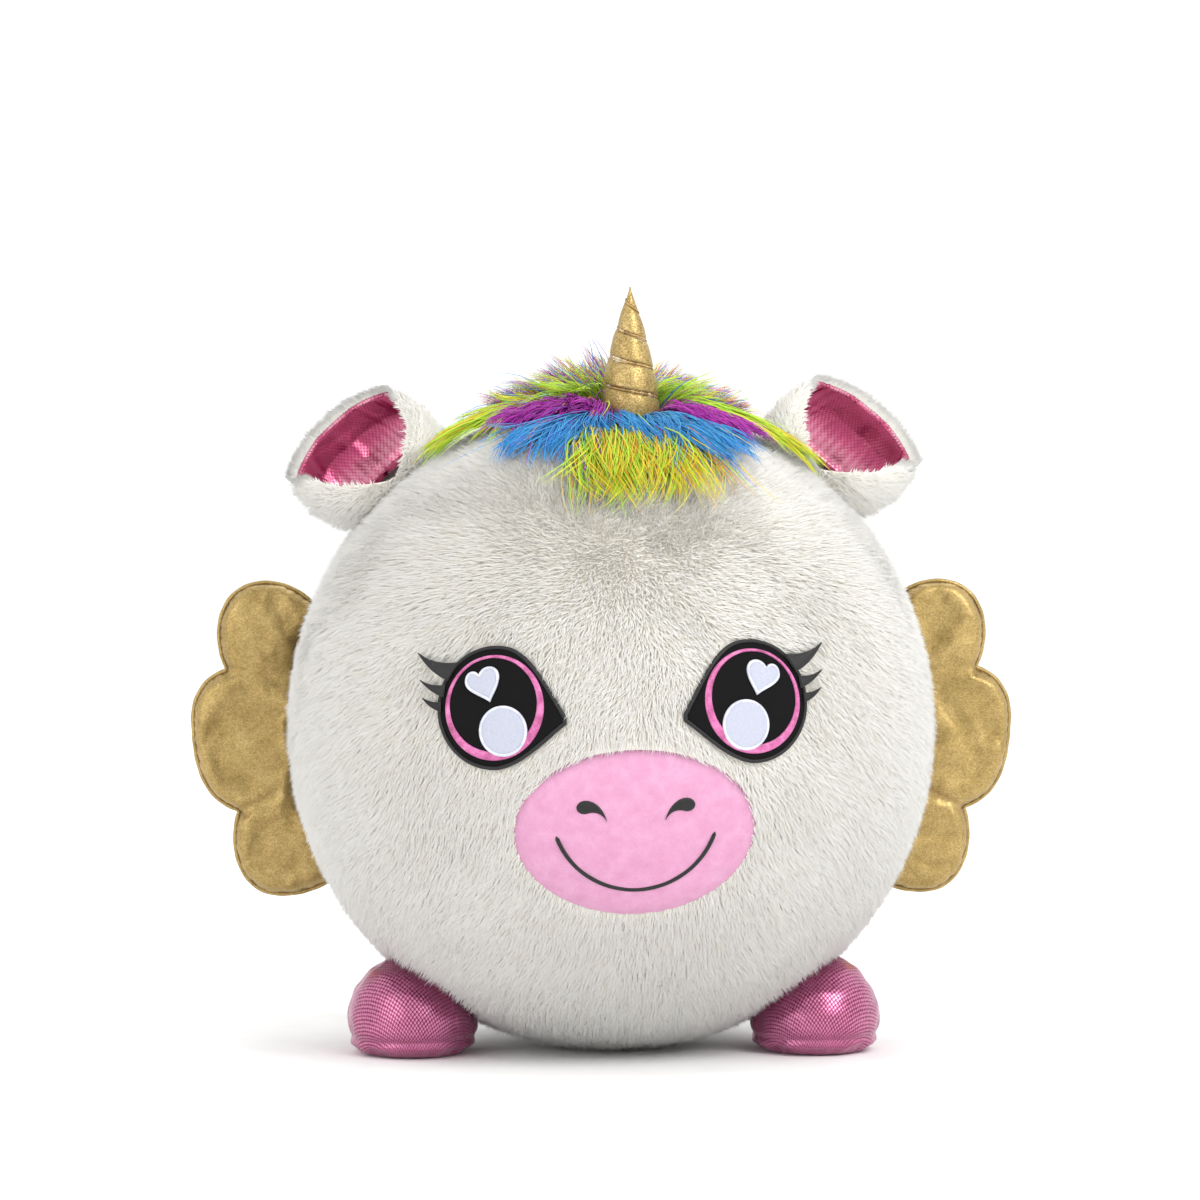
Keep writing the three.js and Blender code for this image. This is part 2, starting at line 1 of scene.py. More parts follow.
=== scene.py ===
# A giant ball-shaped plush unicorn, built round its CAD frame in the order a toy maker puts it
# together: the embroidered face panel, the fur ball, the feet, horn, mane, tail, ears and wings.
# Metres, +Z up, the face looks along -Y; "left" is the viewer's left, seen from the front.
import json
import math

import bmesh
import bpy
import numpy as np
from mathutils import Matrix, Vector, geometry


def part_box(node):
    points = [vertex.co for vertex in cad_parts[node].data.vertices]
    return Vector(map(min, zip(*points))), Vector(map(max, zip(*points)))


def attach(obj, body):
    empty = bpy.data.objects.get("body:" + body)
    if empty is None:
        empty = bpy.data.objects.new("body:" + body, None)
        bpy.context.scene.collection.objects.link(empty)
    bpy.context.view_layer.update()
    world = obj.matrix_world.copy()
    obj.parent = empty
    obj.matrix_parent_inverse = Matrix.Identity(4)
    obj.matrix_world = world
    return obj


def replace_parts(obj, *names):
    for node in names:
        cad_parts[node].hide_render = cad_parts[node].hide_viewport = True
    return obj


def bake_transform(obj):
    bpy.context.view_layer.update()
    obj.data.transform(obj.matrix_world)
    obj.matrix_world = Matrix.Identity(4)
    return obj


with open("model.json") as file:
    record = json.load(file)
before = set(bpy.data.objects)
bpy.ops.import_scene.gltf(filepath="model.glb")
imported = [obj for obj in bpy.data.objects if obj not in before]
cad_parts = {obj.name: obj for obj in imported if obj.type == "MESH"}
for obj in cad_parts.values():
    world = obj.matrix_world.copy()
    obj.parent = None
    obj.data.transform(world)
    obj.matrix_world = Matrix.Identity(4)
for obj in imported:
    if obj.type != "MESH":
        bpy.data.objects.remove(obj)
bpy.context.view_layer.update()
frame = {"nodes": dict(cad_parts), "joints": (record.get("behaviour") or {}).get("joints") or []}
nodes = frame["nodes"]
mm = 0.001


# ---- Fibre filling ----
# Loose white polyester fibre blown into the ball, the feet, the horn and the wings until they are
# firm. It is never seen once the closing seam is sewn, and the CAD solids stand for it.
def linear(hex_colour):
    """An sRGB hex colour as the linear RGBA that a shader takes."""
    parts = [int(hex_colour[i:i + 2], 16) / 255 for i in (1, 3, 5)]
    return [c / 12.92 if c <= 0.04045 else ((c + 0.055) / 1.055) ** 2.4 for c in parts] + [1.0]


def new_material(name, sockets):
    """A new material with these values on its shader's own sockets, and that shader."""
    material = bpy.data.materials.new(name)
    material.use_nodes = True
    shader = material.node_tree.nodes["Principled BSDF"]
    for socket, value in sockets.items():
        shader.inputs[socket].default_value = value
    return material, shader


def add(material, kind, sockets=(), stops=(), **settings):
    """Adds a shader node: sockets holds each one's value or source, stops a ramp's colours."""
    tree = material.node_tree
    made = tree.nodes.new("ShaderNode" + kind)
    for key, value in settings.items():
        setattr(made, key, value)
    for socket, value in dict(sockets).items():
        if isinstance(value, bpy.types.NodeSocket):
            tree.links.new(value, made.inputs[socket])
        else:
            made.inputs[socket].default_value = value
    if stops:
        elements = made.color_ramp.elements
        while len(elements) < len(stops):
            elements.new(0.5)
        for element, (position, colour) in zip(elements, stops):
            element.position = position
            element.color = linear(colour)
    return made


def link(material, output, socket):
    material.node_tree.links.new(output, socket)


def dress(piece, material):
    """Gives a piece its only material."""
    piece.data.materials.clear()
    piece.data.materials.append(material)


def fibre_finish():
    # Matt crimped fibre: a tangle of soft white ridges, with no shine.
    material, shader = new_material("polyester_fibre", {"Roughness": 0.95, "Sheen Weight": 0.3})
    place = add(material, "TexCoord")
    tangle = add(material, "TexNoise",
                 {"Vector": place.outputs["Object"], "Scale": 160, "Detail": 6, "Distortion": 2.5})
    shade = add(material, "ValToRGB", {"Fac": tangle.outputs["Fac"]},
                stops=((0.3, "#DEDDD8"), (0.7, "#F7F7F5")))
    link(material, shade.outputs["Color"], shader.inputs["Base Color"])
    bump = add(material, "Bump",
               {"Height": tangle.outputs["Fac"], "Strength": 0.6, "Distance": 2 * mm})
    link(material, bump.outputs["Normal"], shader.inputs["Normal"])
    return material


fibre = fibre_finish()
for filling in ("body_filling", "foot_filling_left", "foot_filling_right", "horn_filling",
                "wing_filling_left", "wing_filling_right"):
    dress(nodes[filling], fibre)
filling_low, filling_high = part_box("body_filling")
ball_centre = np.array((filling_low + filling_high) / 2)
pile_radius = -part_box("cover_side_left")[0].x


# ---- Muzzle panel ----
# An oval of pale pink short-pile fabric let into the front panel, lightly puffed by the filling and
# drawn in all round by its seam. The nap looks brushed and a little mottled.
def pattern_frame(azimuth, elevation):
    """Right, up and out for a flat pattern laid on the ball, as the columns of a matrix."""
    a, e = math.radians(azimuth), math.radians(elevation)
    out = np.array([math.sin(a) * math.cos(e), -math.cos(a) * math.cos(e), math.sin(e)])
    right = np.array([math.cos(a), math.sin(a), 0.0])
    roll = math.radians(-face_roll)
    turned = np.array([[math.cos(roll), 0, math.sin(roll)], [0, 1, 0],
                       [-math.sin(roll), 0, math.cos(roll)]])
    return turned @ np.column_stack([right, np.cross(out, right), out])


def on_ball(pattern, flat, radius):
    """Flat points laid on the ball, at a radius that may differ from point to point."""
    flat = np.asarray(flat, float)
    depth = np.sqrt(np.maximum(np.asarray(radius) ** 2 - (flat ** 2).sum(-1), 0))
    return (ball_centre + flat[..., :1] * pattern[:, 0] + flat[..., 1:2] * pattern[:, 1]
            + depth[..., None] * pattern[:, 2])


def new_piece(name, points, faces, body="body"):
    """A smooth mesh piece that rides on a body, or stands free where body is None."""
    mesh = bpy.data.meshes.new(name)
    mesh.from_pydata([tuple(p) for p in np.asarray(points, float)], [],
                     [tuple(int(i) for i in f) for f in faces])
    mesh.validate()
    mesh.shade_smooth()
    piece = bpy.data.objects.new(name, mesh)
    bpy.context.scene.collection.objects.link(piece)
    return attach(piece, body) if body else piece


def ripple(points, size, seed, octaves=2):
    """Smooth noise from -1 to 1 with waves of about this size."""
    random = np.random.default_rng(seed)
    points = np.asarray(points, float)
    total = np.zeros(points.shape[:-1])
    for octave in range(octaves):
        for _ in range(5):
            direction = random.normal(size=3)
            direction *= 2 * math.pi * 2 ** octave / (size * np.linalg.norm(direction))
            total += np.sin(points @ direction + random.uniform(0, 6.28)) / 2 ** octave
    return total / 4.5


def disc_faces(rings, around):
    """Faces of a closed lens: a sheet of rings out from its middle, and the same sheet under it."""
    faces = []
    half = 1 + rings * around
    for base, flip in ((0, False), (half, True)):
        for j in range(around):
            k = (j + 1) % around
            middle = (base, base + 1 + j, base + 1 + k)
            faces.append(middle[::-1] if flip else middle)
            for i in range(rings - 1):
                a, b = base + 1 + i * around, base + 1 + (i + 1) * around
                quad = (a + j, b + j, b + k, a + k)
                faces.append(quad[::-1] if flip else quad)
    edge = 1 + (rings - 1) * around
    for j in range(around):
        k = (j + 1) % around
        faces.append((edge + k, edge + j, half + edge + j, half + edge + k))
    return faces


def velboa_finish():
    # Velboa: short brushed pile, so it is matt with a pale bloom at glancing angles and a mottle
    # where the nap lies in different directions. The nap is drawn at 1.2 mm, coarser than it is.
    material, shader = new_material("pale_pink_velboa", {
        "Roughness": 0.82, "Sheen Weight": 0.3, "Sheen Roughness": 0.45,
        "Sheen Tint": linear("#FFE9F5")})
    place = add(material, "TexCoord").outputs["Object"]
    mottle = add(material, "TexNoise",
                 {"Vector": place, "Scale": 95, "Detail": 3, "Roughness": 0.55})
    nap = add(material, "TexNoise", {"Vector": place, "Scale": 850, "Detail": 4, "Roughness": 0.7})
    both = add(material, "Mix",
               {"Factor": 0.5, "A": mottle.outputs["Fac"], "B": nap.outputs["Fac"]})
    shade = add(material, "ValToRGB", {"Fac": both.outputs["Result"]},
                stops=((0.34, "#C385A6"), (0.5, "#CA90B0"), (0.64, "#D09BB9")))
    link(material, shade.outputs["Color"], shader.inputs["Base Color"])
    bump = add(material, "Bump",
               {"Height": both.outputs["Result"], "Strength": 0.45, "Distance": 0.6 * mm})
    link(material, bump.outputs["Normal"], shader.inputs["Normal"])
    return material


face_roll = 1.35
muzzle_pattern = pattern_frame(0.6, -15.3)
muzzle_half = np.array([91.3, 65.3]) * mm
muzzle_radius = pile_radius - 4 * mm


def muzzle_panel():
    rings, around = 30, 132
    angles = 2 * math.pi * np.arange(around) / around
    shares = np.linspace(1 / rings, 1, rings) ** 0.85
    rim = np.column_stack([np.cos(angles), np.sin(angles)]) * muzzle_half
    flat = np.vstack([[[0.0, 0.0]], (shares[:, None, None] * rim).reshape(-1, 2)])
    share = np.concatenate([[0], np.repeat(shares, around)])
    angle = np.concatenate([[0], np.tile(angles, rings)])
    puff = 1.2 * mm * (1 - share ** 4) - 4.5 * mm * share ** 14
    near_seam = np.clip((share - 0.86) / 0.1, 0, 1)
    gathers = np.sin(angle * 41 + 2 * np.sin(angle * 3)) * 0.45 * mm * near_seam
    drift = ripple(np.column_stack([flat, 0 * share]), 38 * mm, 3) * 0.7 * mm * (1 - share ** 6)
    crease_start, crease_end = np.array([52, -24]) * mm, np.array([67, -38]) * mm
    along = crease_end - crease_start
    part = np.clip(((flat - crease_start) @ along) / (along @ along), 0, 1)
    away = np.linalg.norm(flat - crease_start - part[:, None] * along, axis=1)
    crease = -1.5 * mm * np.exp(-(away / (2.2 * mm)) ** 2) * part
    top = on_ball(muzzle_pattern, flat, muzzle_radius + puff + gathers + drift + crease)
    bottom = on_ball(muzzle_pattern, flat, muzzle_radius + np.minimum(puff, 0) + gathers - 2.5 * mm)
    piece = new_piece("muzzle_velboa", np.vstack([top, bottom]), disc_faces(rings, around))
    dress(piece, velboa_finish())
    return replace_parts(piece, "muzzle_panel")


muzzle_panel()


# ---- Nostrils and smile ----
# Black rayon thread in satin stitch: threads laid side by side across the line, padded underneath,
# so that each shape stands up in a low rounded ridge with a silky line of light along it.
def bezier(start, *curves, steps=12):
    """Points along joined cubic curves; each curve is two handles and an end."""
    points, last = [], np.array(start, float)
    for first, second, end in curves:
        t = np.linspace(0, 1, steps, endpoint=False)[:, None]
        first, second, end = (np.array(p, float) for p in (first, second, end))
        points.append((1 - t) ** 3 * last + 3 * (1 - t) ** 2 * t * first
                      + 3 * (1 - t) * t ** 2 * second + t ** 3 * end)
        last = end
    return np.vstack(points + [last[None]])


def evenly(points, spacing, closed=False):
    """The same line with its points at an even spacing."""
    points = np.asarray(points, float)
    if closed:
        points = np.vstack([points, points[:1]])
    lengths = np.concatenate([[0], np.cumsum(np.linalg.norm(np.diff(points, axis=0), axis=1))])
    count = max(4, int(round(lengths[-1] / spacing)))
    at = np.linspace(0, lengths[-1], count + 1)
    even = np.column_stack([np.interp(at, lengths, points[:, i]) for i in range(points.shape[1])])
    return even[:-1] if closed else even


def ring_faces(rings, around, first=0, closed=False, capped=False):
    """Faces between rings of points that follow each other, and over both ends where capped."""
    faces = []
    for i in range(rings if closed else rings - 1):
        a, b = first + i * around, first + (i + 1) % rings * around
        faces += [(a + j, a + (j + 1) % around, b + (j + 1) % around, b + j) for j in range(around)]
    if capped:
        faces += [tuple(range(around))[::-1],
                  tuple((rings - 1) * around + j for j in range(around))]
    return faces


def satin(name, pattern, one_side, other_side, radius, rise, material, closed=False):
    """Satin stitch between two flat edges with as many points: one thread across for each pair."""
    across = np.array([0, 0.12, 0.34, 0.66, 0.88, 1.0])
    crown = np.array([0.35, 0.8, 1.0, 1.0, 0.8, 0.35])
    count = len(one_side)
    threads = np.where(np.arange(count) % 2, 0.0, 0.16)[:, None]
    flat = one_side[:, None] + (other_side - one_side)[:, None] * across[None, :, None]
    height = rise * (crown[None] - threads * crown[None])
    top = on_ball(pattern, flat, radius + height)
    under = on_ball(pattern, flat[:, [5, 0]], radius - 0.5 * mm)
    loops = np.concatenate([top, under], axis=1)
    faces = ring_faces(count, loops.shape[1], closed=closed, capped=not closed)
    piece = new_piece(name, loops.reshape(-1, 3), faces)
    face_outwards(piece)
    dress(piece, material)
    return piece


def face_outwards(piece):
    """Turns a closed mesh right side out."""
    mesh = bmesh.new()
    mesh.from_mesh(piece.data)
    bmesh.ops.recalc_face_normals(mesh, faces=mesh.faces)
    mesh.to_mesh(piece.data)
    mesh.free()


def thread_finish(name, dark, middle, light, roughness):
    # Rayon thread: silky, so light runs along each thread; the colour is painted lighter and darker
    # in patches and along the strands, as painted sheen where the threads turn. Threads are drawn 1
    # mm apart, coarser than the real 0.4 mm.
    material, shader = new_material(name, {
        "Roughness": roughness, "Anisotropic": 0.5, "Sheen Weight": 0.15,
        "Specular IOR Level": 0.5})
    place = add(material, "TexCoord").outputs["Object"]
    patches = add(material, "TexNoise", {"Vector": place, "Scale": 110, "Detail": 2})
    strands_and_sheen = add(material, "TexNoise", {"Vector": place, "Scale": 1100, "Detail": 2})
    both = add(material, "Mix",
               {"Factor": 0.4, "A": patches.outputs["Fac"], "B": strands_and_sheen.outputs["Fac"]})
    shade = add(material, "ValToRGB", {"Fac": both.outputs["Result"]},
                stops=((0.36, dark), (0.5, middle), (0.62, light)))
    link(material, shade.outputs["Color"], shader.inputs["Base Color"])
    bump = add(material, "Bump",
               {"Height": strands_and_sheen.outputs["Fac"], "Strength": 0.4, "Distance": 0.3 * mm})
    link(material, bump.outputs["Normal"], shader.inputs["Normal"])
    return material


black_thread = thread_finish("black_rayon_thread", "#030304", "#060507", "#0C0B0E", 0.6)
stitch_spacing, stitch_rise = 0.5 * mm, 1.1 * mm
stitch_radius = muzzle_radius + 1.2 * mm


def nostril(name, side):
    upper = evenly(bezier((44.3, 25.2), ((42, 33.4), (26, 32.3), (21.8, 14.4))) * mm,
                   stitch_spacing)
    lower = bezier((44.3, 25.2), ((44.6, 20.6), (40, 18.9), (36, 20.4)),
                   ((31, 22.2), (25.6, 20.7), (21.8, 14.4))) * mm
    at = np.linspace(0, 1, len(upper))
    lengths = np.concatenate([[0], np.cumsum(np.linalg.norm(np.diff(lower, axis=0), axis=1))])
    lower = np.column_stack([np.interp(at * lengths[-1], lengths, lower[:, i]) for i in range(2)])
    mirror = np.array([side, 1])
    piece = satin(name + "_stitch", muzzle_pattern, upper * mirror, lower * mirror, stitch_radius,
                  stitch_rise, black_thread)
    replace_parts(piece, name)


def smile():
    half_angle, middle, bend, half_stroke = 71.6, 21.1 * mm, 62.5 * mm, 1.55 * mm
    threads = np.arange(320)
    angles = np.radians(np.linspace(-90 - half_angle, -90 + half_angle, len(threads)))
    ray = np.column_stack([np.cos(angles), np.sin(angles)])
    ends = np.minimum(1, np.minimum(threads, threads[::-1]) / 6 + 0.25)[:, None]
    outer = ray * (bend + half_stroke * ends) + (0, middle)
    inner = ray * (bend - half_stroke * ends) + (0, middle)
    piece = satin("smile_stitch", muzzle_pattern, inner, outer, stitch_radius, stitch_rise,
                  black_thread)
    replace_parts(piece, "smile")


nostril("nostril_left", -1)
nostril("nostril_right", 1)
smile()


# ---- Eyes ----
# Each eye is a stack of appliqué: a black felt patch, a pink satin-stitched iris ring, a pale felt
# heart and glint with white stitched edges, and three lashes in black satin stitch.
def inside(points, outline):
    """How far flat points lie outside a closed outline: negative inside it."""
    best = np.full(len(points), 1e9)
    within = np.zeros(len(points), bool)
    for start, end in zip(outline, np.roll(outline, -1, axis=0)):
        edge, offset = end - start, points - start
        part = np.clip((offset @ edge) / max(edge @ edge, 1e-18), 0, 1)
        best = np.minimum(best, np.linalg.norm(offset - part[:, None] * edge, axis=1))
        crosses = (start[1] > points[:, 1]) != (end[1] > points[:, 1])
        slope = edge[0] / (edge[1] if abs(edge[1]) > 1e-12 else 1e-12)
        within ^= crosses & (points[:, 0] < slope * (points[:, 1] - start[1]) + start[0])
    return np.where(within, -best, best)


def flat_cloth(outline, spacing):
    """Points and triangles that fill a closed outline, with the outline's points first."""
    low, high = outline.min(0), outline.max(0)
    columns = np.arange(low[0], high[0], spacing)
    rows = np.arange(low[1], high[1], spacing * 0.87)
    grid = np.array([(x + (i % 2) * spacing / 2, y) for i, y in enumerate(rows) for x in columns])
    grid = grid[inside(grid, outline) < -0.55 * spacing]
    points = np.vstack([outline, grid])
    edges = [(i, (i + 1) % len(outline)) for i in range(len(outline))]
    filled = geometry.delaunay_2d_cdt([Vector(p) for p in points], edges, [], 1, 1e-7)
    return np.array([tuple(p) for p in filled[0]]), [tuple(f) for f in filled[2]]


def applique(name, pattern, outline, radius, thickness, spacing, material):
    """A cut piece of felt laid on the ball: closed, with a rounded edge."""
    flat, faces = flat_cloth(outline, spacing)
    rounding = np.clip(-inside(flat, outline) / (1.2 * mm), 0, 1)
    top = on_ball(pattern, flat, radius - 0.6 * mm * (1 - rounding))
    bottom = on_ball(pattern, flat, radius - thickness)
    count = len(flat)
    sheet = list(faces) + [tuple(count + i for i in f[::-1]) for f in faces]
    rim = len(outline)
    sheet += [(i, (i + 1) % rim, count + (i + 1) % rim, count + i) for i in range(rim)]
    piece = new_piece(name, np.vstack([top, bottom]), sheet)
    face_outwards(piece)
    dress(piece, material)
    return piece


def felt_finish(name, dark, light):
    # Pressed felt: dead matt, with tangled fibres about 1 mm long showing as fine mottle.
    material, shader = new_material(name, {"Roughness": 0.93, "Specular IOR Level": 0.25})
    place = add(material, "TexCoord").outputs["Object"]
    fibres = add(material, "TexNoise",
                 {"Vector": place, "Scale": 900, "Detail": 5, "Roughness": 0.75,
                  "Distortion": 1.5})
    shade = add(material, "ValToRGB", {"Fac": fibres.outputs["Fac"]},
                stops=((0.3, dark), (0.7, light)))
    link(material, shade.outputs["Color"], shader.inputs["Base Color"])
    bump = add(material, "Bump",
               {"Height": fibres.outputs["Fac"], "Strength": 0.5, "Distance": 0.4 * mm})
    link(material, bump.outputs["Normal"], shader.inputs["Normal"])
    return material


def inset(outline, distance):
    """A closed outline moved inwards, or outwards where the distance is negative."""
    ahead, behind = np.roll(outline, -1, axis=0), np.roll(outline, 1, axis=0)
    along = ahead - behind
    along /= np.maximum(np.linalg.norm(along, axis=1, keepdims=True), 1e-9)
    area = np.sum(outline[:, 0] * ahead[:, 1] - ahead[:, 0] * outline[:, 1])
    turn = 1 if area > 0 else -1
    return outline + np.column_stack([-along[:, 1], along[:, 0]]) * turn * distance


def paired(outline):
    """The outline with an even number of points, so that its long and short threads take turns."""
    return outline[:len(outline) // 2 * 2]


def circle(radius, centre):
    count = max(24, int(2 * math.pi * radius / stitch_spacing / 2) * 2)
    angles = 2 * math.pi * np.arange(count) / count
    return np.column_stack([np.cos(angles), np.sin(angles)]) * radius + centre


def arc(radius, start, end, count):
    angles = np.radians(np.linspace(start, end, count))
    return np.column_stack([np.cos(angles), np.sin(angles)]) * radius


patch_radius = pile_radius - 3 * mm
border_rise = 1.3 * mm
patch_shape = np.vstack([
    arc(46.5, 80, 275, 60)[:-1],
    bezier(arc(46.5, 275, 275, 1)[0], ((26, -42), (42, -23), (56.3, -12)), steps=24),
    bezier((56.1, -6.6), ((36, 27), (24, 42.5), arc(46.5, 80, 80, 1)[0]), steps=24)[:-1]]) * mm
heart_shape = bezier((-12.6, 24.6), ((-16, 29.3), (-24.2, 26.8), (-23.3, 18.6)),
                     ((-22.5, 11), (-9, 8.6), (-2.2, 4)),
                     ((0, 10), (5.3, 17.5), (3.9, 24.7)),
                     ((2, 32.8), (-9.5, 32.8), (-12.6, 24.6)))[:-1] * mm
lash_shapes = [np.array(lash) * mm for lash in (
    [[-38, 20], [-54, 26.5], [-65.5, 41.3], [-50, 31.5], [-30, 34]],
    [[-41, 7.5], [-54, 12.3], [-61.7, 20.6], [-52.5, 15.5], [-40, 17]],
    [[-43, -3.5], [-53, -0.3], [-58.8, 7], [-51.5, 3.5], [-43, 4]])]
eyes_turn, eye_azimuth, eye_elevation = -0.93, 22.96, 7.65
eye_patterns = {"left": pattern_frame(eyes_turn - eye_azimuth, eye_elevation),
                "right": pattern_frame(eyes_turn + eye_azimuth, eye_elevation)}
eye_mirrors = {"left": np.array([1, 1]), "right": np.array([-1, 1])}
black_felt = felt_finish("black_felt", "#030303", "#0A090B")
pale_felt = felt_finish("pale_lilac_felt", "#A3A7B7", "#C0C3D0")
pink_thread = thread_finish("pink_rayon_thread", "#98406F", "#C25C98", "#D47DAE", 0.36)
white_thread = thread_finish("white_rayon_thread", "#B4B7C6", "#CBCED9", "#DCDDE6", 0.4)


def eye(side):
    pattern, mirror = eye_patterns[side], eye_mirrors[side]
    outline = paired(evenly(patch_shape * mirror, 0.8 * mm, closed=True))
    felt = applique(f"eye_felt_{side}", pattern, inset(outline, 0.9 * mm), patch_radius,
                    2 * mm, 3.5 * mm, black_felt)
    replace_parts(felt, f"eye_patch_{side}")
    satin(f"eye_border_{side}", pattern, outline, inset(outline, 2.6 * mm),
          patch_radius - 0.4 * mm, border_rise, black_thread, closed=True)
    for number, (low, low_bend, tip, high_bend, high) in enumerate(lash_shapes):
        t = np.linspace(0, 1, 44)[:, None]
        lower = (1 - t) ** 2 * low + 2 * (1 - t) * t * low_bend + t ** 2 * tip
        upper = (1 - t) ** 2 * high + 2 * (1 - t) * t * high_bend + t ** 2 * tip
        tip_width = np.column_stack([0 * t, 0.35 * mm * t])
        satin(f"lash_{side}_{number}", pattern, (lower - tip_width) * mirror,
              (upper + tip_width) * mirror, patch_radius + 1.6 * mm, 1.8 * mm, black_thread)

    outer = circle(39.4 * mm, (0, 0))
    inner = circle(34.9 * mm, np.array([-0.8, 2.2]) * mm)
    inner = inner[np.round(np.linspace(0, len(inner), len(outer), endpoint=False)).astype(int)]
    ring = satin(f"iris_stitch_{side}", pattern, outer * mirror, inner * mirror, patch_radius,
                 1.4 * mm, pink_thread, closed=True)
    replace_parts(ring, f"iris_ring_{side}")

    for name, shape in (("glint", circle(19 * mm, np.array([8.3, -17.6]) * mm)),
                        ("heart", heart_shape)):
        edge = paired(evenly(shape * mirror, stitch_spacing, closed=True))
        felt = applique(f"{name}_felt_{side}", pattern, inset(edge, 0.6 * mm),
                        patch_radius + 1.7 * mm, 1.7 * mm, 2.5 * mm, pale_felt)
        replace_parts(felt, f"{name}_{side}")
        satin(f"{name}_border_{side}", pattern, edge, inset(edge, 2.2 * mm),
              patch_radius + 0.9 * mm, border_rise, white_thread, closed=True)


for side in ("left", "right"):
    eye(side)


# ---- Ball cover ----
# Five gores and a round base panel of ivory faux fur: a knitted backing with 12 to 15 mm crimped
# pile that lies in small loose clumps. It is brushed outwards and down, and parted at each piece
# that is sewn on.

# How far a hair's shading turns with its own round sides, and how far with its direction.
hair_roundness, hair_lean = 1.8, 0.5


def normalised(vectors):
    """The same directions, one unit long."""
    return vectors / np.maximum(np.linalg.norm(vectors, axis=-1, keepdims=True), 1e-12)


def pile(name, lines, widths, normals, tones, body="body"):
    """Closed three-sided hairs that taper to a point; widths leaves out the tip of each line."""
    hairs, count, _ = lines.shape
    rings = count - 1
    along = normalised(np.gradient(lines, axis=1))
    side = normalised(np.cross(normals[:, None], along))
    up = np.cross(along, side)
    side, up = side[:, :rings] * widths[..., None] / 2, up[:, :rings] * widths[..., None] * 0.55
    corners = np.stack([lines[:, :rings] - side, lines[:, :rings] + side, lines[:, :rings] + up],
                       axis=2)
    points = np.concatenate([corners.reshape(hairs, -1, 3), lines[:, -1:]], axis=1)
    loops, sizes, places = [], [], []
    for k in range(rings - 1):
        for j in range(3):
            n = (j + 1) % 3
            loops += [k * 3 + j, k * 3 + n, k * 3 + 3 + n, k * 3 + 3 + j]
            places += [(j, k), (j + 1, k), (j + 1, k + 1), (j, k + 1)]
            sizes.append(4)
    for j in range(3):
        loops += [(rings - 1) * 3 + j, (rings - 1) * 3 + (j + 1) % 3, rings * 3]
        places += [(j, rings - 1), (j + 1, rings - 1), (j + 0.5, rings)]
        sizes.append(3)
    loops += [2, 1, 0]
    places += [(2, 0), (1, 0.2), (0, 0)]
    sizes.append(3)
    per_hair = rings * 3 + 1
    loops, sizes, places = np.array(loops), np.array(sizes), np.array(places, float)
    mesh = bpy.data.meshes.new(name)
    mesh.vertices.add(hairs * per_hair)
    mesh.vertices.foreach_set("co", points.astype(np.float32).ravel())
    all_loops = (loops[None] + np.arange(hairs)[:, None] * per_hair).ravel()
    all_sizes = np.tile(sizes, hairs)
    mesh.loops.add(len(all_loops))
    mesh.loops.foreach_set("vertex_index", all_loops.astype(np.int32))
    mesh.polygons.add(len(all_sizes))
    mesh.polygons.foreach_set("loop_start",
                              np.concatenate([[0], np.cumsum(all_sizes)[:-1]]).astype(np.int32))
    mesh.update(calc_edges=True)
    mesh.shade_smooth()
    # The pile's colour goes by this map: u is the hair's own tone and v runs from root to tip.
    tone_map = mesh.uv_layers.new(name="OFBake")
    u = tones[:, None] * 0.96 + places[None, :, 0] / 3 * 0.03 + 0.005
    v = np.broadcast_to(places[None, :, 1] / rings * 0.99 + 0.005, u.shape)
    tone_map.data.foreach_set("uv", np.stack([u, v], axis=2).astype(np.float32).ravel())
    # Light scatters from hair to hair, so the pile is shaded mostly by the surface it stands on.
    outwards = normalised(np.stack([-side - up * 0.5, side - up * 0.5, up], axis=2))
    facing = normals[:, None, None] + outwards * hair_roundness + along[:, :rings, None] * hair_lean
    at_tips = (normals + along[:, -1])[:, None]
    facing = np.concatenate([facing.reshape(hairs, -1, 3), at_tips], axis=1).reshape(-1, 3)
    mesh.normals_split_custom_set_from_vertices(normalised(facing).astype(np.float32))
    piece = bpy.data.objects.new(name, mesh)
    bpy.context.scene.collection.objects.link(piece)
    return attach(piece, body) if body else piece


def fur_finish():
    # Ivory polyester pile with a soft sheen. Its colour is painted darker and warmer towards each
    # hair's root, as painted shade in the gaps between clumps, and lighter at the tips, as painted
    # light coming through.
    material, shader = new_material("ivory_faux_fur", {
        "Roughness": 0.62, "Sheen Weight": 0.6, "Sheen Roughness": 0.5, "Specular IOR Level": 0.3})
    place = add(material, "UVMap", uv_map="OFBake")
    parts = add(material, "SeparateXYZ", {"Vector": place.outputs["UV"]})
    # Painted shade at the roots, painted light at the tips.
    painted_shade_root_to_tip = add(material, "ValToRGB", {"Fac": parts.outputs["Y"]},
                      stops=((0.0, "#EBE7DD"), (0.4, "#F8F6F1"), (1.0, "#FFFFFD")))
    tone = add(material, "ValToRGB", {"Fac": parts.outputs["X"]},
               stops=((0.0, "#F2EDE3"), (0.4, "#FDFCF8"), (1.0, "#FFFFFF")))
    colour = add(material, "Mix",
                 {0: 1.0, 6: painted_shade_root_to_tip.outputs["Color"], 7: tone.outputs["Color"]},
                 data_type="RGBA", blend_type="MULTIPLY")
    link(material, colour.outputs[2], shader.inputs["Base Color"])
    grain = add(material, "TexNoise",
                {"Vector": add(material, "TexCoord").outputs["Object"], "Scale": 1400})
    bump = add(material, "Bump",
               {"Height": grain.outputs["Fac"], "Strength": 0.25, "Distance": 0.2 * mm})
    link(material, bump.outputs["Normal"], shader.inputs["Normal"])
    return material


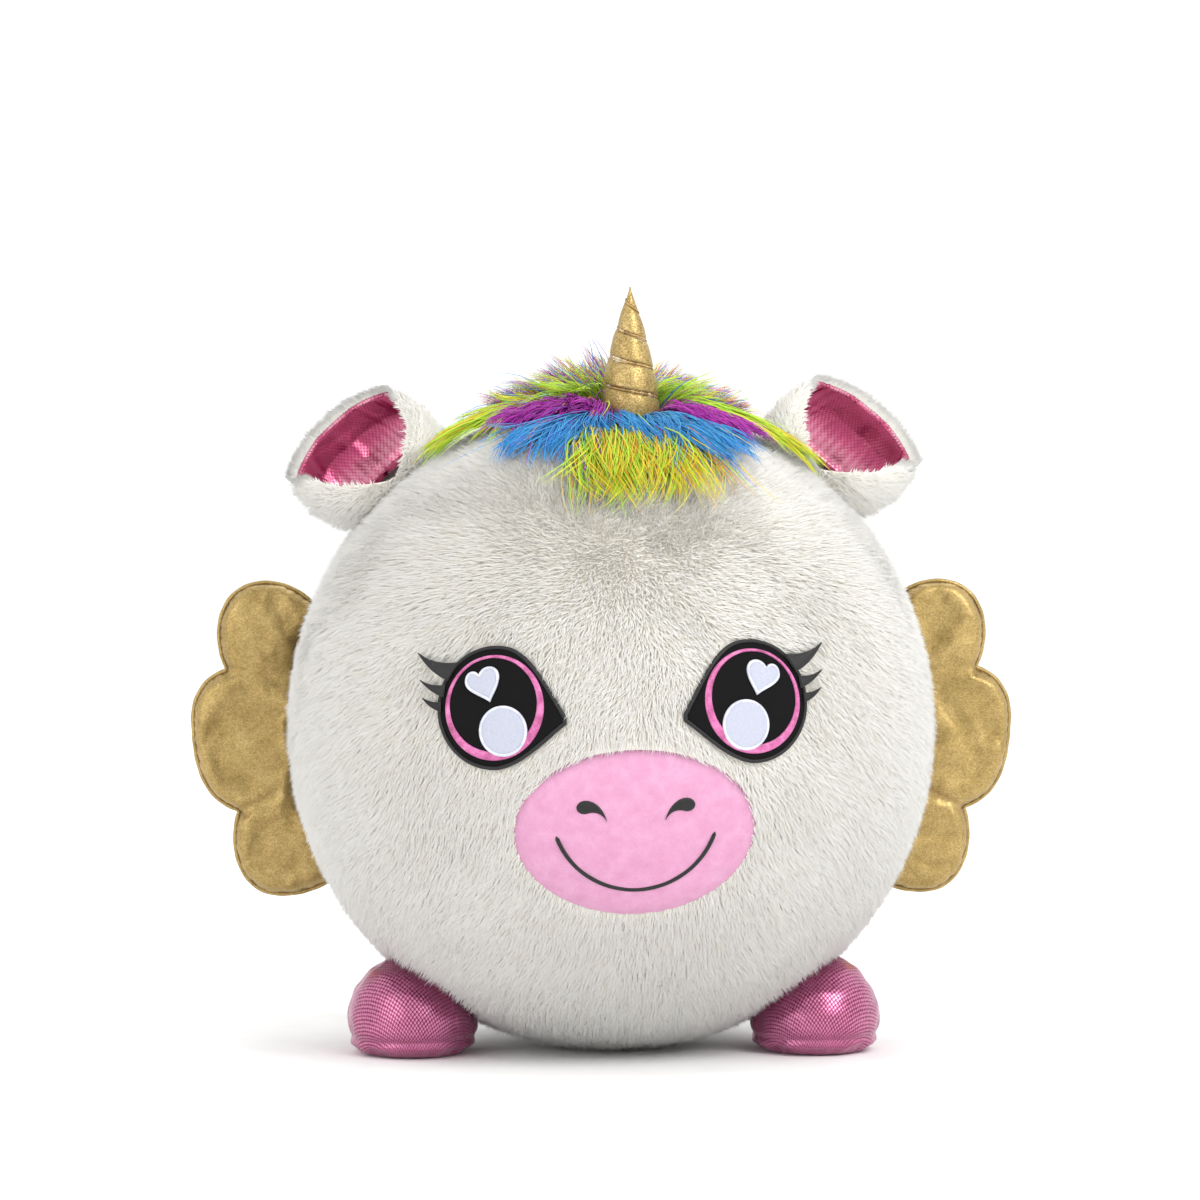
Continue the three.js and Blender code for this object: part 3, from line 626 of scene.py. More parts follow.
def backing_finish():
    # The knitted ground of the fur: rows of fine loops, beige because little light gets down to it.
    material, shader = new_material("knitted_fur_backing", {"Roughness": 0.95, "Sheen Weight": 0.2})
    place = add(material, "TexCoord").outputs["Object"]
    loops = add(material, "TexVoronoi", {"Vector": place, "Scale": 520})
    patches = add(material, "TexNoise", {"Vector": place, "Scale": 60, "Detail": 4})
    both = add(material, "Mix",
               {"Factor": 0.5, "A": loops.outputs["Distance"], "B": patches.outputs["Fac"]})
    shade = add(material, "ValToRGB", {"Fac": both.outputs["Result"]},
                stops=((0.25, "#F8F5EE"), (0.55, "#EEE9DE")))
    link(material, shade.outputs["Color"], shader.inputs["Base Color"])
    bump = add(material, "Bump",
               {"Height": both.outputs["Result"], "Strength": 0.6, "Distance": 1 * mm})
    link(material, bump.outputs["Normal"], shader.inputs["Normal"])
    return material


def middle_and_half(node):
    """The middle of a CAD node's box, and half its size."""
    low, high = (np.array(corner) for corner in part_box(node))
    return (low + high) / 2, (high - low) / 2


white_fur, fur_backing = fur_finish(), backing_finish()
hair_spacing, hair_width, clump_size = 1.52 * mm, 1.35 * mm, 3.8 * mm
backing_radius = pile_radius - 9 * mm
floor_clearance = 0.4 * mm
base_radius = middle_and_half("cover_base")[1][0]
base_depth = math.sqrt(backing_radius ** 2 - base_radius ** 2)
gores = (("front", -55, 55), ("side_right", 55, 125), ("back_right", 125, 180),
         ("back_left", 180, 235), ("side_left", 235, 305))
horn_middle = middle_and_half("horn_cover")[0][:2]
hollow_depth, hollow_radius, hollow_slope = 8 * mm, 36 * mm, 10 * mm
fur_clearance = 27 * mm


def sheet_faces(rows, columns):
    """Faces of a closed sheet: a grid of points, the same grid under it, and the edge between."""
    faces, under = [], rows * columns
    for i in range(rows - 1):
        for j in range(columns - 1):
            corner = i * columns + j
            quad = (corner, corner + 1, corner + columns + 1, corner + columns)
            faces += [quad, tuple(under + q for q in quad[::-1])]
    edge = ([j for j in range(columns)] + [i * columns + columns - 1 for i in range(1, rows)]
            + [(rows - 1) * columns + j for j in range(columns - 2, -1, -1)]
            + [i * columns for i in range(rows - 2, 0, -1)])
    return faces + [(a, under + a, under + b, b) for a, b in zip(edge, edge[1:] + edge[:1])]


def backing(name, azimuths, elevations):
    """A sheet of backing, drawn down a little at its seams and hollowed under the horn."""
    a, e = np.meshgrid(np.radians(azimuths), np.radians(elevations))
    turn = (a - a[0, 0]) / (a[0, -1] - a[0, 0])
    edge = np.minimum(turn, 1 - turn) * (a[0, -1] - a[0, 0]) * np.cos(e) * backing_radius
    radius = backing_radius - 1.2 * mm * np.exp(-(edge / (3 * mm)) ** 2)
    rays = np.stack([np.sin(a) * np.cos(e), -np.cos(a) * np.cos(e), np.sin(e)], axis=2)
    from_horn = (rays * radius[..., None])[..., :2] + ball_centre[:2] - horn_middle
    to_edge = hollow_radius - np.linalg.norm(from_horn, axis=2)
    radius = radius - hollow_depth * np.clip(to_edge / hollow_slope, 0, 1) * (e > 0)
    layers = []
    for drop in (0, 2 * mm):
        layer = ball_centre + rays * (radius - drop)[..., None]
        layer[..., 2] = np.maximum(layer[..., 2], floor_clearance + drop)
        layers.append(layer.reshape(-1, 3))
    piece = new_piece(name, np.vstack(layers), sheet_faces(len(elevations), len(azimuths)))
    face_outwards(piece)
    dress(piece, fur_backing)
    return piece


base_elevation = -math.degrees(math.asin(base_depth / backing_radius))
for gore, start, end in gores:
    cloth = backing(f"backing_{gore}",
                    np.linspace(start + 0.07, end - 0.07, int((end - start) / 2.2)),
                    np.linspace(base_elevation + 0.1, 89.6, 74))
    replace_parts(cloth, f"cover_{gore}")


def base_panel():
    rings, around = 20, 96
    angles = 2 * math.pi * np.arange(around) / around
    shares = np.linspace(1 / rings, 1, rings)
    radii = np.concatenate([[0], np.repeat(shares, around)]) * base_radius
    ray = np.column_stack([np.cos(angles), np.sin(angles)])
    flat = radii[:, None] * np.vstack([[[0, 0]], np.tile(ray, (rings, 1))])
    sheets = []
    for drop in (0, 2 * mm):
        depth = np.sqrt((backing_radius - drop) ** 2 - radii ** 2)
        z = np.maximum(ball_centre[2] - depth, floor_clearance + drop)
        sheets.append(np.column_stack([flat + ball_centre[:2], z]))
    piece = new_piece("backing_base", np.vstack(sheets), disc_faces(rings, around))
    face_outwards(piece)
    dress(piece, fur_backing)
    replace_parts(piece, "cover_base")


base_panel()


def clumped(roots, lines, cell, pull, seed):
    """Draws hairs to the middle of their clump: not at all at the root, and most at the tip."""
    warp = np.column_stack([ripple(roots, 5 * cell, seed + k, 1) for k in range(3)]) * cell * 0.8
    keys = np.floor((roots + warp) / cell).astype(np.int64)
    _, group = np.unique(keys @ np.array([1, 4001, 16008001]), return_inverse=True)
    group = group.ravel()
    members = np.bincount(group)[:, None]
    sums = [np.stack([np.bincount(group, lines[:, k, i]) for i in range(3)], axis=1)
            for k in range(lines.shape[1])]
    middles = np.stack([total / members for total in sums], axis=1)
    share = (np.linspace(0, 1, lines.shape[1]) ** 1.5 * pull)[None, :, None]
    return lines + (middles[group] - lines) * share, group


def ball_roots(spacing, seed):
    """Points spread evenly over the ball, each moved a little at random."""
    random = np.random.default_rng(seed)
    count = int(4 * math.pi * backing_radius ** 2 / spacing ** 2)
    k = np.arange(count) + 0.5
    height = 1 - 2 * k / count
    turn = k * math.pi * (3 - math.sqrt(5))
    level = np.sqrt(1 - height ** 2)
    rays = np.column_stack([np.cos(turn) * level, np.sin(turn) * level, height])
    return normalised(rays + random.normal(size=rays.shape) * spacing * 0.3 / backing_radius)


def fur_keeps_off(rays):
    """How far each point of the ball's surface lies outside the pieces sewn on it."""
    clear = np.full(len(rays), 1.0)
    turns = np.linspace(0, 2 * math.pi, 72)[:-1]
    sewn_on = [(muzzle_pattern, np.column_stack([np.cos(turns), np.sin(turns)]) * muzzle_half)]
    for side, pattern in eye_patterns.items():
        sewn_on += [(pattern, shape * eye_mirrors[side])
                    for shape in [patch_shape[::3], *lash_shapes]]
    for pattern, outline in sewn_on:
        near = rays @ pattern[:, 2] > 0.8
        flat = rays[near] @ pattern[:, :2] * pile_radius
        clear[near] = np.minimum(clear[near], inside(flat, outline))
    points = ball_centre + rays * pile_radius
    for side in ("left", "right"):
        middle, half = middle_and_half(f"foot_sole_{side}")
        level = np.clip(points[:, 2] / (74 * mm), 0, 1)
        swell = np.interp(level, [0, 0.1, 0.3, 0.5, 0.7, 0.87, 1],
                          [0.9, 0.98, 1, 0.97, 0.84, 0.64, 0.05])
        away = np.linalg.norm((points[:, :2] - middle[:2]) / half[:2], axis=1) - swell
        clear = np.minimum(clear, np.where(points[:, 2] < 76 * mm, away * half[0], 1.0))
    above = points[:, 2] > ball_centre[2]
    away = np.linalg.norm(points[:, :2] - horn_middle, axis=1) - fur_clearance
    return np.where(above, np.minimum(clear, away), clear)


def combed(rays):
    """Which way the pile lies on the ball: outwards and down, in slow swirls."""
    push = np.column_stack([rays[:, 0] * 0.9, rays[:, 1] * 0.5, -0.75 + 0 * rays[:, 2]])
    flow = normalised(push - (push * rays).sum(1, keepdims=True) * rays)
    swirl = (ripple(rays, 0.55, 5) * 0.6 + ripple(rays, 0.16, 8) * 0.3)[:, None]
    return flow * np.cos(swirl) + np.cross(rays, flow) * np.sin(swirl)


def hair_tips(roots, normals, flow, stand, length):
    """Where hairs end that lean from the surface's normal towards the flow by this angle."""
    leaning = normals * np.cos(stand)[:, None] + flow * np.sin(stand)[:, None]
    return roots + leaning * length[:, None]


def ball_fur():
    random = np.random.default_rng(11)
    rays = ball_roots(hair_spacing, 3)
    clear = fur_keeps_off(rays)
    open_cloth = clear > 0.2 * mm
    rays, clear = rays[open_cloth], clear[open_cloth]
    count = len(rays)
    flow = combed(rays)
    across = np.cross(rays, flow)
    fan = random.normal(size=count)[:, None] * 0.42
    flow = normalised(flow + across * fan)
    length = random.uniform(11.5, 15.5, count) * mm * (1 + 0.09 * ripple(rays, 0.05, 17))
    length *= np.clip(0.55 + clear / (14 * mm), 0.55, 1)
    stand = np.clip(0.9 + 0.17 * random.normal(size=count) + 0.08 * ripple(rays, 0.035, 23),
                    0.3, 1.3)
    crown = np.clip((rays[:, 2] - 0.3) / 0.35, 0, 1) * np.clip(0.6 - rays[:, 1], 0, 1)
    stand *= 1 - 0.4 * np.clip(crown, 0, 1)
    roots = ball_centre + rays * (backing_radius - 0.5 * mm)
    tips = hair_tips(roots, rays, flow, stand, length)
    lines, group = clumped(roots, np.stack([roots, tips], axis=1), clump_size, 0.42, 31)
    reach = np.linalg.norm(lines - ball_centre, axis=2, keepdims=True)
    lines = ball_centre + (lines - ball_centre) * np.minimum(1, (pile_radius + 3.5 * mm) / reach)
    lines[..., 2] = np.maximum(lines[..., 2], floor_clearance + np.array([0.7, 0.1]) * mm)
    clump_tone = random.uniform(0, 1, group.max() + 1)[group]
    tones = np.clip(0.5 * clump_tone + 0.5 * random.uniform(0, 1, count), 0, 1)
    widths = hair_width * random.uniform(0.7, 1.25, (count, 1))
    over_edge = fur_keeps_off(normalised(lines[:, 1] - ball_centre)) < -0.4 * mm
    azimuth = np.degrees(np.arctan2(rays[:, 0], -rays[:, 1])) % 360
    for gore, start, end in gores:
        span = (azimuth - start) % 360 < (end - start)
        bands = np.linspace(-1, 1, 4 if gore == "front" else 3)
        for band, (low, high) in enumerate(zip(bands[:-1], bands[1:])):
            mine = span & (rays[:, 2] >= low) & (rays[:, 2] < high + (high == 1)) & ~over_edge
            piece = pile(f"fur_{gore}_{band}", lines[mine], widths[mine], rays[mine], tones[mine])
            dress(piece, white_fur)


ball_fur()


# ---- Feet ----
# Two stuffed bootees of hot-pink foil-printed knit: a sole that wraps up the side, and a front and
# a back joined over the top. The inner side is sewn close against the ball, and the filling blows
# the cloth out between its seams.
def inflated(points, faces, held, pressure, growth, reach):
    """The mesh's points once its cloth, cut larger by growth, is blown up with some held still."""
    mesh = bpy.data.meshes.new("cloth")
    mesh.from_pydata([tuple(p) for p in points], [], [tuple(int(i) for i in f) for f in faces])
    cloth = bpy.data.objects.new("cloth", mesh)
    scene = bpy.context.scene
    scene.collection.objects.link(cloth)
    group = cloth.vertex_groups.new(name="held")
    group.add([int(i) for i in np.flatnonzero(held)], 1.0, "REPLACE")
    settings = cloth.modifiers.new("cloth", "CLOTH").settings
    settings.quality = 6
    settings.mass = 0.2
    settings.tension_stiffness = settings.compression_stiffness = 12
    settings.bending_stiffness = 0.25
    settings.use_pressure = True
    settings.uniform_pressure_force = pressure
    settings.shrink_min = -growth
    settings.vertex_group_mass = "held"
    settings.effector_weights.gravity = 0
    for step in range(1, 21):
        scene.frame_set(step)
    blown = cloth.evaluated_get(bpy.context.evaluated_depsgraph_get()).to_mesh()
    moved = np.empty(len(points) * 3, np.float32)
    blown.vertices.foreach_get("co", moved)
    scene.frame_set(1)
    bpy.data.objects.remove(cloth)
    shift = moved.reshape(-1, 3) - points
    size = np.linalg.norm(shift, axis=1, keepdims=True)
    return points + shift * np.minimum(1, reach / np.maximum(size, 1e-9))


def subdivided(piece):
    modifier = piece.modifiers.new("smooth", "SUBSURF")
    modifier.levels = modifier.render_levels = 1
    return piece


def tube(name, line, radii, material, body="body", closed=False, sides=8):
    """A round cord along a line, with its radius given for each point."""
    line = np.asarray(line, float)
    ahead = np.roll(line, -1, axis=0) - np.roll(line, 1, axis=0)
    if not closed:
        ahead[0], ahead[-1] = line[1] - line[0], line[-1] - line[-2]
    ahead = normalised(ahead)
    side = np.cross(ahead[0], [0.1, 0.3, 1.0])
    rings = []
    for point, direction, radius in zip(line, ahead, radii):
        side = side - direction * (side @ direction)
        side /= np.linalg.norm(side)
        up = np.cross(direction, side)
        turns = 2 * math.pi * np.arange(sides) / sides
        rings.append(point + radius * (np.cos(turns)[:, None] * side + np.sin(turns)[:, None] * up))
    faces = ring_faces(len(line), sides, closed=closed, capped=not closed)
    piece = new_piece(name, np.vstack(rings), faces, body)
    face_outwards(piece)
    dress(piece, material)
    return piece


def foil_finish(name, dark, middle, light, dot_spacing, painted=None):
    # Foil-printed knit: a hot-pink metallic film in small dots on a deeper pink ground. The dots
    # glint singly where the cloth turns away and run together into broad soft highlights. They are
    # drawn at 2.4 to 2.8 mm, coarser than the real 2 mm, so that they show.
    material, shader = new_material(name, {
        "Metallic": 0.6, "Roughness": 0.3, "Coat Weight": 0.35, "Coat Roughness": 0.2})
    place = add(material, "TexCoord").outputs["Object"]
    weave = add(material, "Attribute", attribute_name="print").outputs["Vector"]
    dots = add(material, "TexVoronoi",
               {"Vector": weave, "Scale": 1 / dot_spacing, "Randomness": 0.12},
               voronoi_dimensions="2D")
    # This noise bumps the cloth into soft creases; where no painted attribute is given, it also
    # sets the ground's colour, darker in the creases and lighter on the folds, as painted shade and
    # light.
    creases = add(material, "TexNoise",
                  {"Vector": place, "Scale": 42, "Detail": 3, "Distortion": 0.8})
    film = add(material, "MapRange",
               {"Value": dots.outputs["Distance"], "From Min": 0.2, "From Max": 0.62,
                "To Min": 1.0, "To Max": 0.0})
    ground = creases.outputs["Fac"]
    if painted:
        ground = add(material, "Attribute", attribute_name=painted).outputs["Fac"]
    both = add(material, "Mix",
               {"Factor": 0.3 if painted else 0.7, "A": ground, "B": film.outputs["Result"]})
    shade = add(material, "ValToRGB", {"Fac": both.outputs["Result"]},
                stops=((0.15, dark), (0.42, middle), (0.8, light)))
    link(material, shade.outputs["Color"], shader.inputs["Base Color"])
    polish = add(material, "MapRange",
                 {"Value": film.outputs["Result"], "To Min": 0.42, "To Max": 0.24})
    link(material, polish.outputs["Result"], shader.inputs["Roughness"])
    fine = add(material, "Bump",
               {"Height": film.outputs["Result"], "Strength": 0.35, "Distance": 0.25 * mm})
    soft = add(material, "Bump",
               {"Height": creases.outputs["Fac"], "Strength": 0.5, "Distance": 2.5 * mm,
                "Normal": fine.outputs["Normal"]})
    link(material, soft.outputs["Normal"], shader.inputs["Normal"])
    return material


def print_on(piece, places):
    """Where each point lies on the printed cloth, in metres, with the dots running diagonally."""
    x, y = places.T
    turned = np.column_stack([x + y, x - y, 0 * x]) * 0.7071
    piece.data.attributes.new("print", "FLOAT_VECTOR", "POINT").data.foreach_set(
        "vector", turned.astype(np.float32).ravel())


pink_foil = foil_finish("hot_pink_foil_knit", "#5E173A", "#8C2C58", "#D07FA6", 2.8 * mm)


def foot(side):
    around, rows = 56, 34
    middle, half = (corner[:2] for corner in middle_and_half(f"foot_sole_{side}"))
    wide, deep = half + 1.8 * mm
    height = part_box(f"foot_front_{side}")[1].z
    seam_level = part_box(f"foot_sole_{side}")[1].z
    heights = np.array([0, 0, 0.035, 0.10, 0.24, 0.44, 0.66, 0.85, 0.96, 1.0])
    swells = np.array([0.0, 0.72, 0.88, 0.95, 1.0, 0.985, 0.88, 0.66, 0.38, 0.0])
    at = np.linspace(0, 1, rows)
    profile = np.linspace(0, 1, len(heights))
    level, swell = np.interp(at, profile, heights) * height, np.interp(at, profile, swells)
    turns = 2 * math.pi * np.arange(around) / around
    points = np.array([[math.cos(t) * s * wide, math.sin(t) * s * deep, z]
                       for s, z in zip(swell[1:-1], level[1:-1]) for t in turns])
    points = np.vstack([[[0, 0, 0]], points, [[0, 0, height]]]) * (1, 1, 1.02)
    points[:, :2] += middle
    points[:, 2] = np.maximum(points[:, 2], floor_clearance)
    faces = [(0, 1 + (j + 1) % around, 1 + j) for j in range(around)]
    faces += ring_faces(rows - 2, around, first=1)
    top = 1 + (rows - 3) * around
    faces += [(top + j, top + (j + 1) % around, len(points) - 1) for j in range(around)]

    def against_ball(where):
        """The points kept out of the ball's cloth, and which of them rest on it."""
        cloth = pile_radius - 8 * mm
        reach = np.linalg.norm(where - ball_centre, axis=1, keepdims=True)
        touching = reach < cloth
        pushed = ball_centre + (where - ball_centre) * cloth / reach
        return np.where(touching, pushed, where), touching[:, 0]

    points, touching = against_ball(points)
    seam = np.abs(points[:, 2] - seam_level) < 1.6 * mm
    over = (np.abs(points[:, 1] - middle[1]) < 1.5 * mm) & (points[:, 2] > seam_level)
    held = seam | over | touching | (points[:, 2] < 1.2 * mm)
    points = inflated(points, faces, held, 5.0, 0.045, 5 * mm)
    points, touching = against_ball(points)
    outward = normalised(points - np.append(middle, 0.4 * height))
    above_sole = points[:, 2] > seam_level
    to_over_seam = np.where(above_sole, np.abs(points[:, 1] - middle[1]), 1)
    to_seam = np.minimum(np.abs(points[:, 2] - seam_level), to_over_seam)
    pucker_seed, sag_seed = {"left": (41, 47), "right": (43, 53)}[side]
    pucker = ripple(points, 13 * mm, pucker_seed, 1) * 0.6 * mm * np.exp(-to_seam / (9 * mm))
    sag = ripple(points, 46 * mm, sag_seed, 2) * 0.9 * mm
    groove = -1.5 * mm * np.exp(-(to_seam / (2.4 * mm)) ** 2)
    free = np.where(touching | (points[:, 2] < 1.5 * mm), 0, 1)
    points = points + outward * ((pucker + sag + groove) * free)[:, None]
    points[:, 2] = np.maximum(points[:, 2], floor_clearance)
    piece = subdivided(new_piece(f"foot_{side}_shell", points, faces))
    steps_up = np.linalg.norm(np.diff(np.column_stack([swell * half[0], level]), axis=0), axis=1)
    from_top = steps_up[::-1].cumsum()[::-1]
    from_top = np.concatenate([np.repeat(from_top, [1] + [around] * (rows - 2)), [0]])
    angles = np.concatenate([[0], np.tile(turns, rows - 2), [0]])
    print_on(piece, np.column_stack([np.cos(angles), np.sin(angles)]) * from_top[:, None])
    face_outwards(piece)
    dress(piece, pink_foil)
    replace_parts(piece, f"foot_sole_{side}", f"foot_front_{side}", f"foot_back_{side}")


for side in ("left", "right"):
    foot(side)


# ---- Horn ----
# A cone of gold lamé stuffed firm, then wound from base to tip with gold thread pulled tight, so
# the cloth puffs between the turns and gathers into small pleats at each one.
def lame_finish(name, glitter):
    # Gold lamé with holographic glitter: a metallic knit whose tiny flakes each catch the light on
    # their own, so it sparkles finely over a satin gold; each flake's colour is lightened or
    # darkened at random as a painted glint, over broad patches of lighter and darker gold. Flakes
    # are drawn at 0.9 mm, coarser than they are, so that they show.
    material, shader = new_material(name, {
        "Metallic": 0.72, "Roughness": 0.4, "Sheen Weight": 0.1})
    place = add(material, "TexCoord").outputs["Object"]
    flakes = add(material, "TexVoronoi", {"Vector": place, "Scale": 1150})
    gold_patches = add(material, "TexNoise",
                 {"Vector": place, "Scale": 55, "Detail": 4, "Roughness": 0.6})
    single = add(material, "SeparateColor", {"Color": flakes.outputs["Color"]})
    both = add(material, "Mix",
               {"Factor": glitter, "A": gold_patches.outputs["Fac"], "B": single.outputs["Red"]})
    shade = add(material, "ValToRGB", {"Fac": both.outputs["Result"]},
                stops=((0.2, "#86703F"), (0.5, "#AC9259"), (0.78, "#C8AE76"), (0.95, "#F0E2B8")))
    link(material, shade.outputs["Color"], shader.inputs["Base Color"])
    polish = add(material, "MapRange",
                 {"Value": single.outputs["Green"], "To Min": 0.28, "To Max": 0.6})
    link(material, polish.outputs["Result"], shader.inputs["Roughness"])
    fine = add(material, "Bump",
               {"Height": single.outputs["Blue"], "Strength": 0.35, "Distance": 0.25 * mm})
    soft = add(material, "Bump",
               {"Height": gold_patches.outputs["Fac"], "Strength": 0.35, "Distance": 1.2 * mm,
                "Normal": fine.outputs["Normal"]})
    link(material, soft.outputs["Normal"], shader.inputs["Normal"])
    return material


gold_lame = lame_finish("gold_glitter_lame", 0.32)
horn_lame = lame_finish("crushed_gold_lame", 0.55)
gold_thread = thread_finish("gold_winding_thread", "#7A5A28", "#A98445", "#D8B878", 0.4)
horn_pitch, horn_front_level, horn_flare = 22 * mm, 19.5 * mm, 1.65


def horn():
    low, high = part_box("horn_cover")
    base_middle = np.append(horn_middle, low.z)
    height, base = high.z - low.z, (high.x - low.x) / 2
    rows, around = 150, 64
    levels = np.linspace(-0.8 * mm, height * 0.988, rows)
    turns = 2 * math.pi * np.arange(around) / around
    level, turn = np.meshgrid(levels, turns, indexing="ij")
    cone = base * (1 - (np.clip(level, 0, height) / height) ** horn_flare)
    phase = ((level - horn_front_level) / horn_pitch + (turn + math.pi / 2) / (2 * math.pi)) % 1
    to_groove = np.minimum(phase, 1 - phase) * horn_pitch
    strength = np.clip(cone / base * 1.6, 0.3, 1)
    puff = 1.0 * mm * np.sin(math.pi * phase) ** 0.8 * strength
    groove = -1.9 * mm * np.exp(-(to_groove / (1.5 * mm)) ** 2) * strength
    pleat = 0.35 * mm * np.sin(turn * 17 + level * 260) * np.exp(-to_groove / (4 * mm)) * strength
    skin = np.stack([np.cos(turn) * cone, np.sin(turn) * cone, level], axis=2)
    drift = ripple(skin, 24 * mm, 61) * 0.6 * mm * strength
    radius = np.maximum(cone + puff + groove + pleat + drift - 0.6 * mm, 0.8 * mm)
    shell = np.stack([radius * np.cos(turn), radius * np.sin(turn), level], axis=2)
    points = np.vstack([shell.reshape(-1, 3) + base_middle, base_middle + (0, 0, -0.8 * mm),
                        base_middle + (0, 0, height)])
    faces = ring_faces(rows, around)
    last = (rows - 1) * around
    faces += [((j + 1) % around, j, len(points) - 2) for j in range(around)]
    faces += [(last + j, last + (j + 1) % around, len(points) - 1) for j in range(around)]
    piece = new_piece("horn_lame", points, faces, "horn")
    dress(piece, horn_lame)
    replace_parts(piece, "horn_cover")

    levels = np.arange(3 * mm, height - 9 * mm, 0.5 * mm)
    turns = -math.pi / 2 - 2 * math.pi * (levels - horn_front_level) / horn_pitch
    cone = base * (1 - (levels / height) ** horn_flare)
    radii = cone - 1.2 * mm * np.clip(cone / base * 1.6, 0.3, 1)
    line = np.column_stack([radii * np.cos(turns), radii * np.sin(turns), levels]) + base_middle
    thread = tube("horn_winding", line, np.full(len(line), 0.75 * mm), gold_thread,
                  "horn", sides=6)
    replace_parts(thread, "horn_thread")


horn()


# ---- Mane ----
# A patch of long silky pile round the horn and down the back of the head, dyed in bands across it:
# yellow and lime in front, then blue, magenta, and lime and orange again behind. The locks fall
# forwards and to the sides, and stand up in spikes behind the horn.
def rainbow_finish():
    # Long-pile fibre: straighter and shinier than the white fur, dyed right through. Its colour is
    # painted darker towards the roots, as painted shade among the locks, and paler at the tips, as
    # painted light.
    material, shader = new_material("rainbow_long_pile", {
        "Roughness": 0.46, "Sheen Weight": 0.1, "Specular IOR Level": 0.4})
    place = add(material, "UVMap", uv_map="OFBake")
    parts = add(material, "SeparateXYZ", {"Vector": place.outputs["UV"]})
    dye = add(material, "ValToRGB", {"Fac": parts.outputs["X"]}, stops=(
        (0.0, "#8FCC12"), (0.14, "#C6E83A"), (0.18, "#E2B810"), (0.31, "#F2DC38"),
        (0.35, "#C87818"), (0.47, "#E8A038"), (0.52, "#0F76C8"), (0.64, "#44A6E0"),
        (0.69, "#5A44C4"), (0.80, "#8A66D4"), (0.85, "#8C068C"), (1.0, "#C22CB8")))
    # Painted shade at the roots and painted light at the tips, over the dye.
    depth = add(material, "ValToRGB", {"Fac": parts.outputs["Y"]},
                stops=((0.0, "#8F8A78"), (0.25, "#E3E0D4"), (0.7, "#FFFFFF"), (1.0, "#FFFFFF")))
    colour = add(material, "Mix", {0: 1.0, 6: dye.outputs["Color"], 7: depth.outputs["Color"]},
                 data_type="RGBA", blend_type="MULTIPLY")
    link(material, colour.outputs[2], shader.inputs["Base Color"])
    grain = add(material, "TexNoise",
                {"Vector": add(material, "TexCoord").outputs["Object"], "Scale": 1500})
    bump = add(material, "Bump",
               {"Height": grain.outputs["Fac"], "Strength": 0.2, "Distance": 0.2 * mm})
    link(material, bump.outputs["Normal"], shader.inputs["Normal"])
    return material


rainbow = rainbow_finish()
dyes = {"lime": (0.0, 0.14), "yellow": (0.18, 0.31), "orange": (0.35, 0.47), "blue": (0.52, 0.64),
        "violet": (0.69, 0.80), "magenta": (0.85, 1.0)}
crown_middle, crown_half = (corner[:2] for corner in middle_and_half("mane_crown"))
strip_low, strip_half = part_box("mane_strip")[0].z, middle_and_half("mane_strip")[1][0]
mane_clearance = 24 * mm


def long_locks(name, roots, normals, flow, length, lift, upright, tones, seed):
    """Long pile: each strand follows the ball along the flow, or stands up where upright is 1."""
    random = np.random.default_rng(seed)
    count, steps = len(roots), 7
    s = np.linspace(0, 1, steps)[None, :, None]
    reach = np.linalg.norm(roots - ball_centre, axis=1)[:, None, None]
    turn = length[:, None, None] * s / reach
    arch = lift[:, None, None] * np.sin(math.pi * s ** 0.75) ** 0.8
    low = 3.5 * mm * s
    around = normals[:, None] * np.cos(turn) + flow[:, None] * np.sin(turn)
    lying = ball_centre + (reach + arch + low) * around
    lean = 0.25 + 0.75 * s
    standing = roots[:, None] + length[:, None, None] * s * 0.72 * normalised(
        normals[:, None] + flow[:, None] * lean * 0.75
        + random.normal(size=(count, 1, 3)) * 0.16 * s)
    up = upright[:, None, None]
    lines = lying * (1 - up) + standing * up
    across = np.cross(normals, flow)[:, None]
    curl = ripple(roots, 22 * mm, seed + 5)[:, None, None]
    lines = lines + across * np.sin(math.pi * s * 1.2) * curl * length[:, None, None] * 0.14
    lines, group = clumped(roots, lines, 7.5 * mm, 0.72, seed + 9)
    wild = random.normal(size=(group.max() + 1, 2))[group] * length[:, None]
    bend = s ** 1.6 * 0.17
    lifted = normals[:, None] * np.abs(wild[:, 1:, None]) * 0.5
    lines = lines + (across * wild[:, :1, None] + lifted) * bend
    widths = np.array([0.9, 1.0, 1.0, 0.85, 0.65, 0.42]) * mm * random.uniform(0.7, 1.3, (count, 1))
    piece = pile(name, lines, widths, normals, tones)
    dress(piece, rainbow)
    return piece


def tangent(normals, x, y, z):
    """The direction x, y, z laid along the ball's surface at each point."""
    push = np.column_stack([x + 0 * normals[:, 0], y + 0 * normals[:, 0], z + 0 * normals[:, 0]])
    return normalised(push - (push * normals).sum(1, keepdims=True) * normals)


def dyed(random, names, choice):
    """A shade drawn at random from the dye that each strand is given."""
    low, high = np.array([dyes[n] for n in names]).T
    return low[choice] + (high - low)[choice] * random.uniform(0, 1, len(choice))


# One row for each dyed band, from the forehead back: its dye, how strongly its locks fall to their
# own side, to the right, and forwards (below 0) or back, their length, arch and uprightness.
band_ends = np.array([-62, -41, -17, 6, 26, 50]) * mm
crown_bands = (("yellow", 0.5, 0.05, -1.0, 124, 3, 0.0),
               ("blue", 1.0, 0.1, -1.0, 62, 6, 0.03),
               ("magenta", 1.7, 0.25, -0.85, 48, 9, 0.1),
               ("lime", 3.2, 0, -0.5, 62, 9, 0.34),
               ("orange", 2.4, 0, 0.2, 54, 10, 0.85),
               ("violet", 1.6, 0, 0.8, 50, 8, 0.85),
               ("magenta", 1.0, 0, 1.0, 54, 6, 0.6))


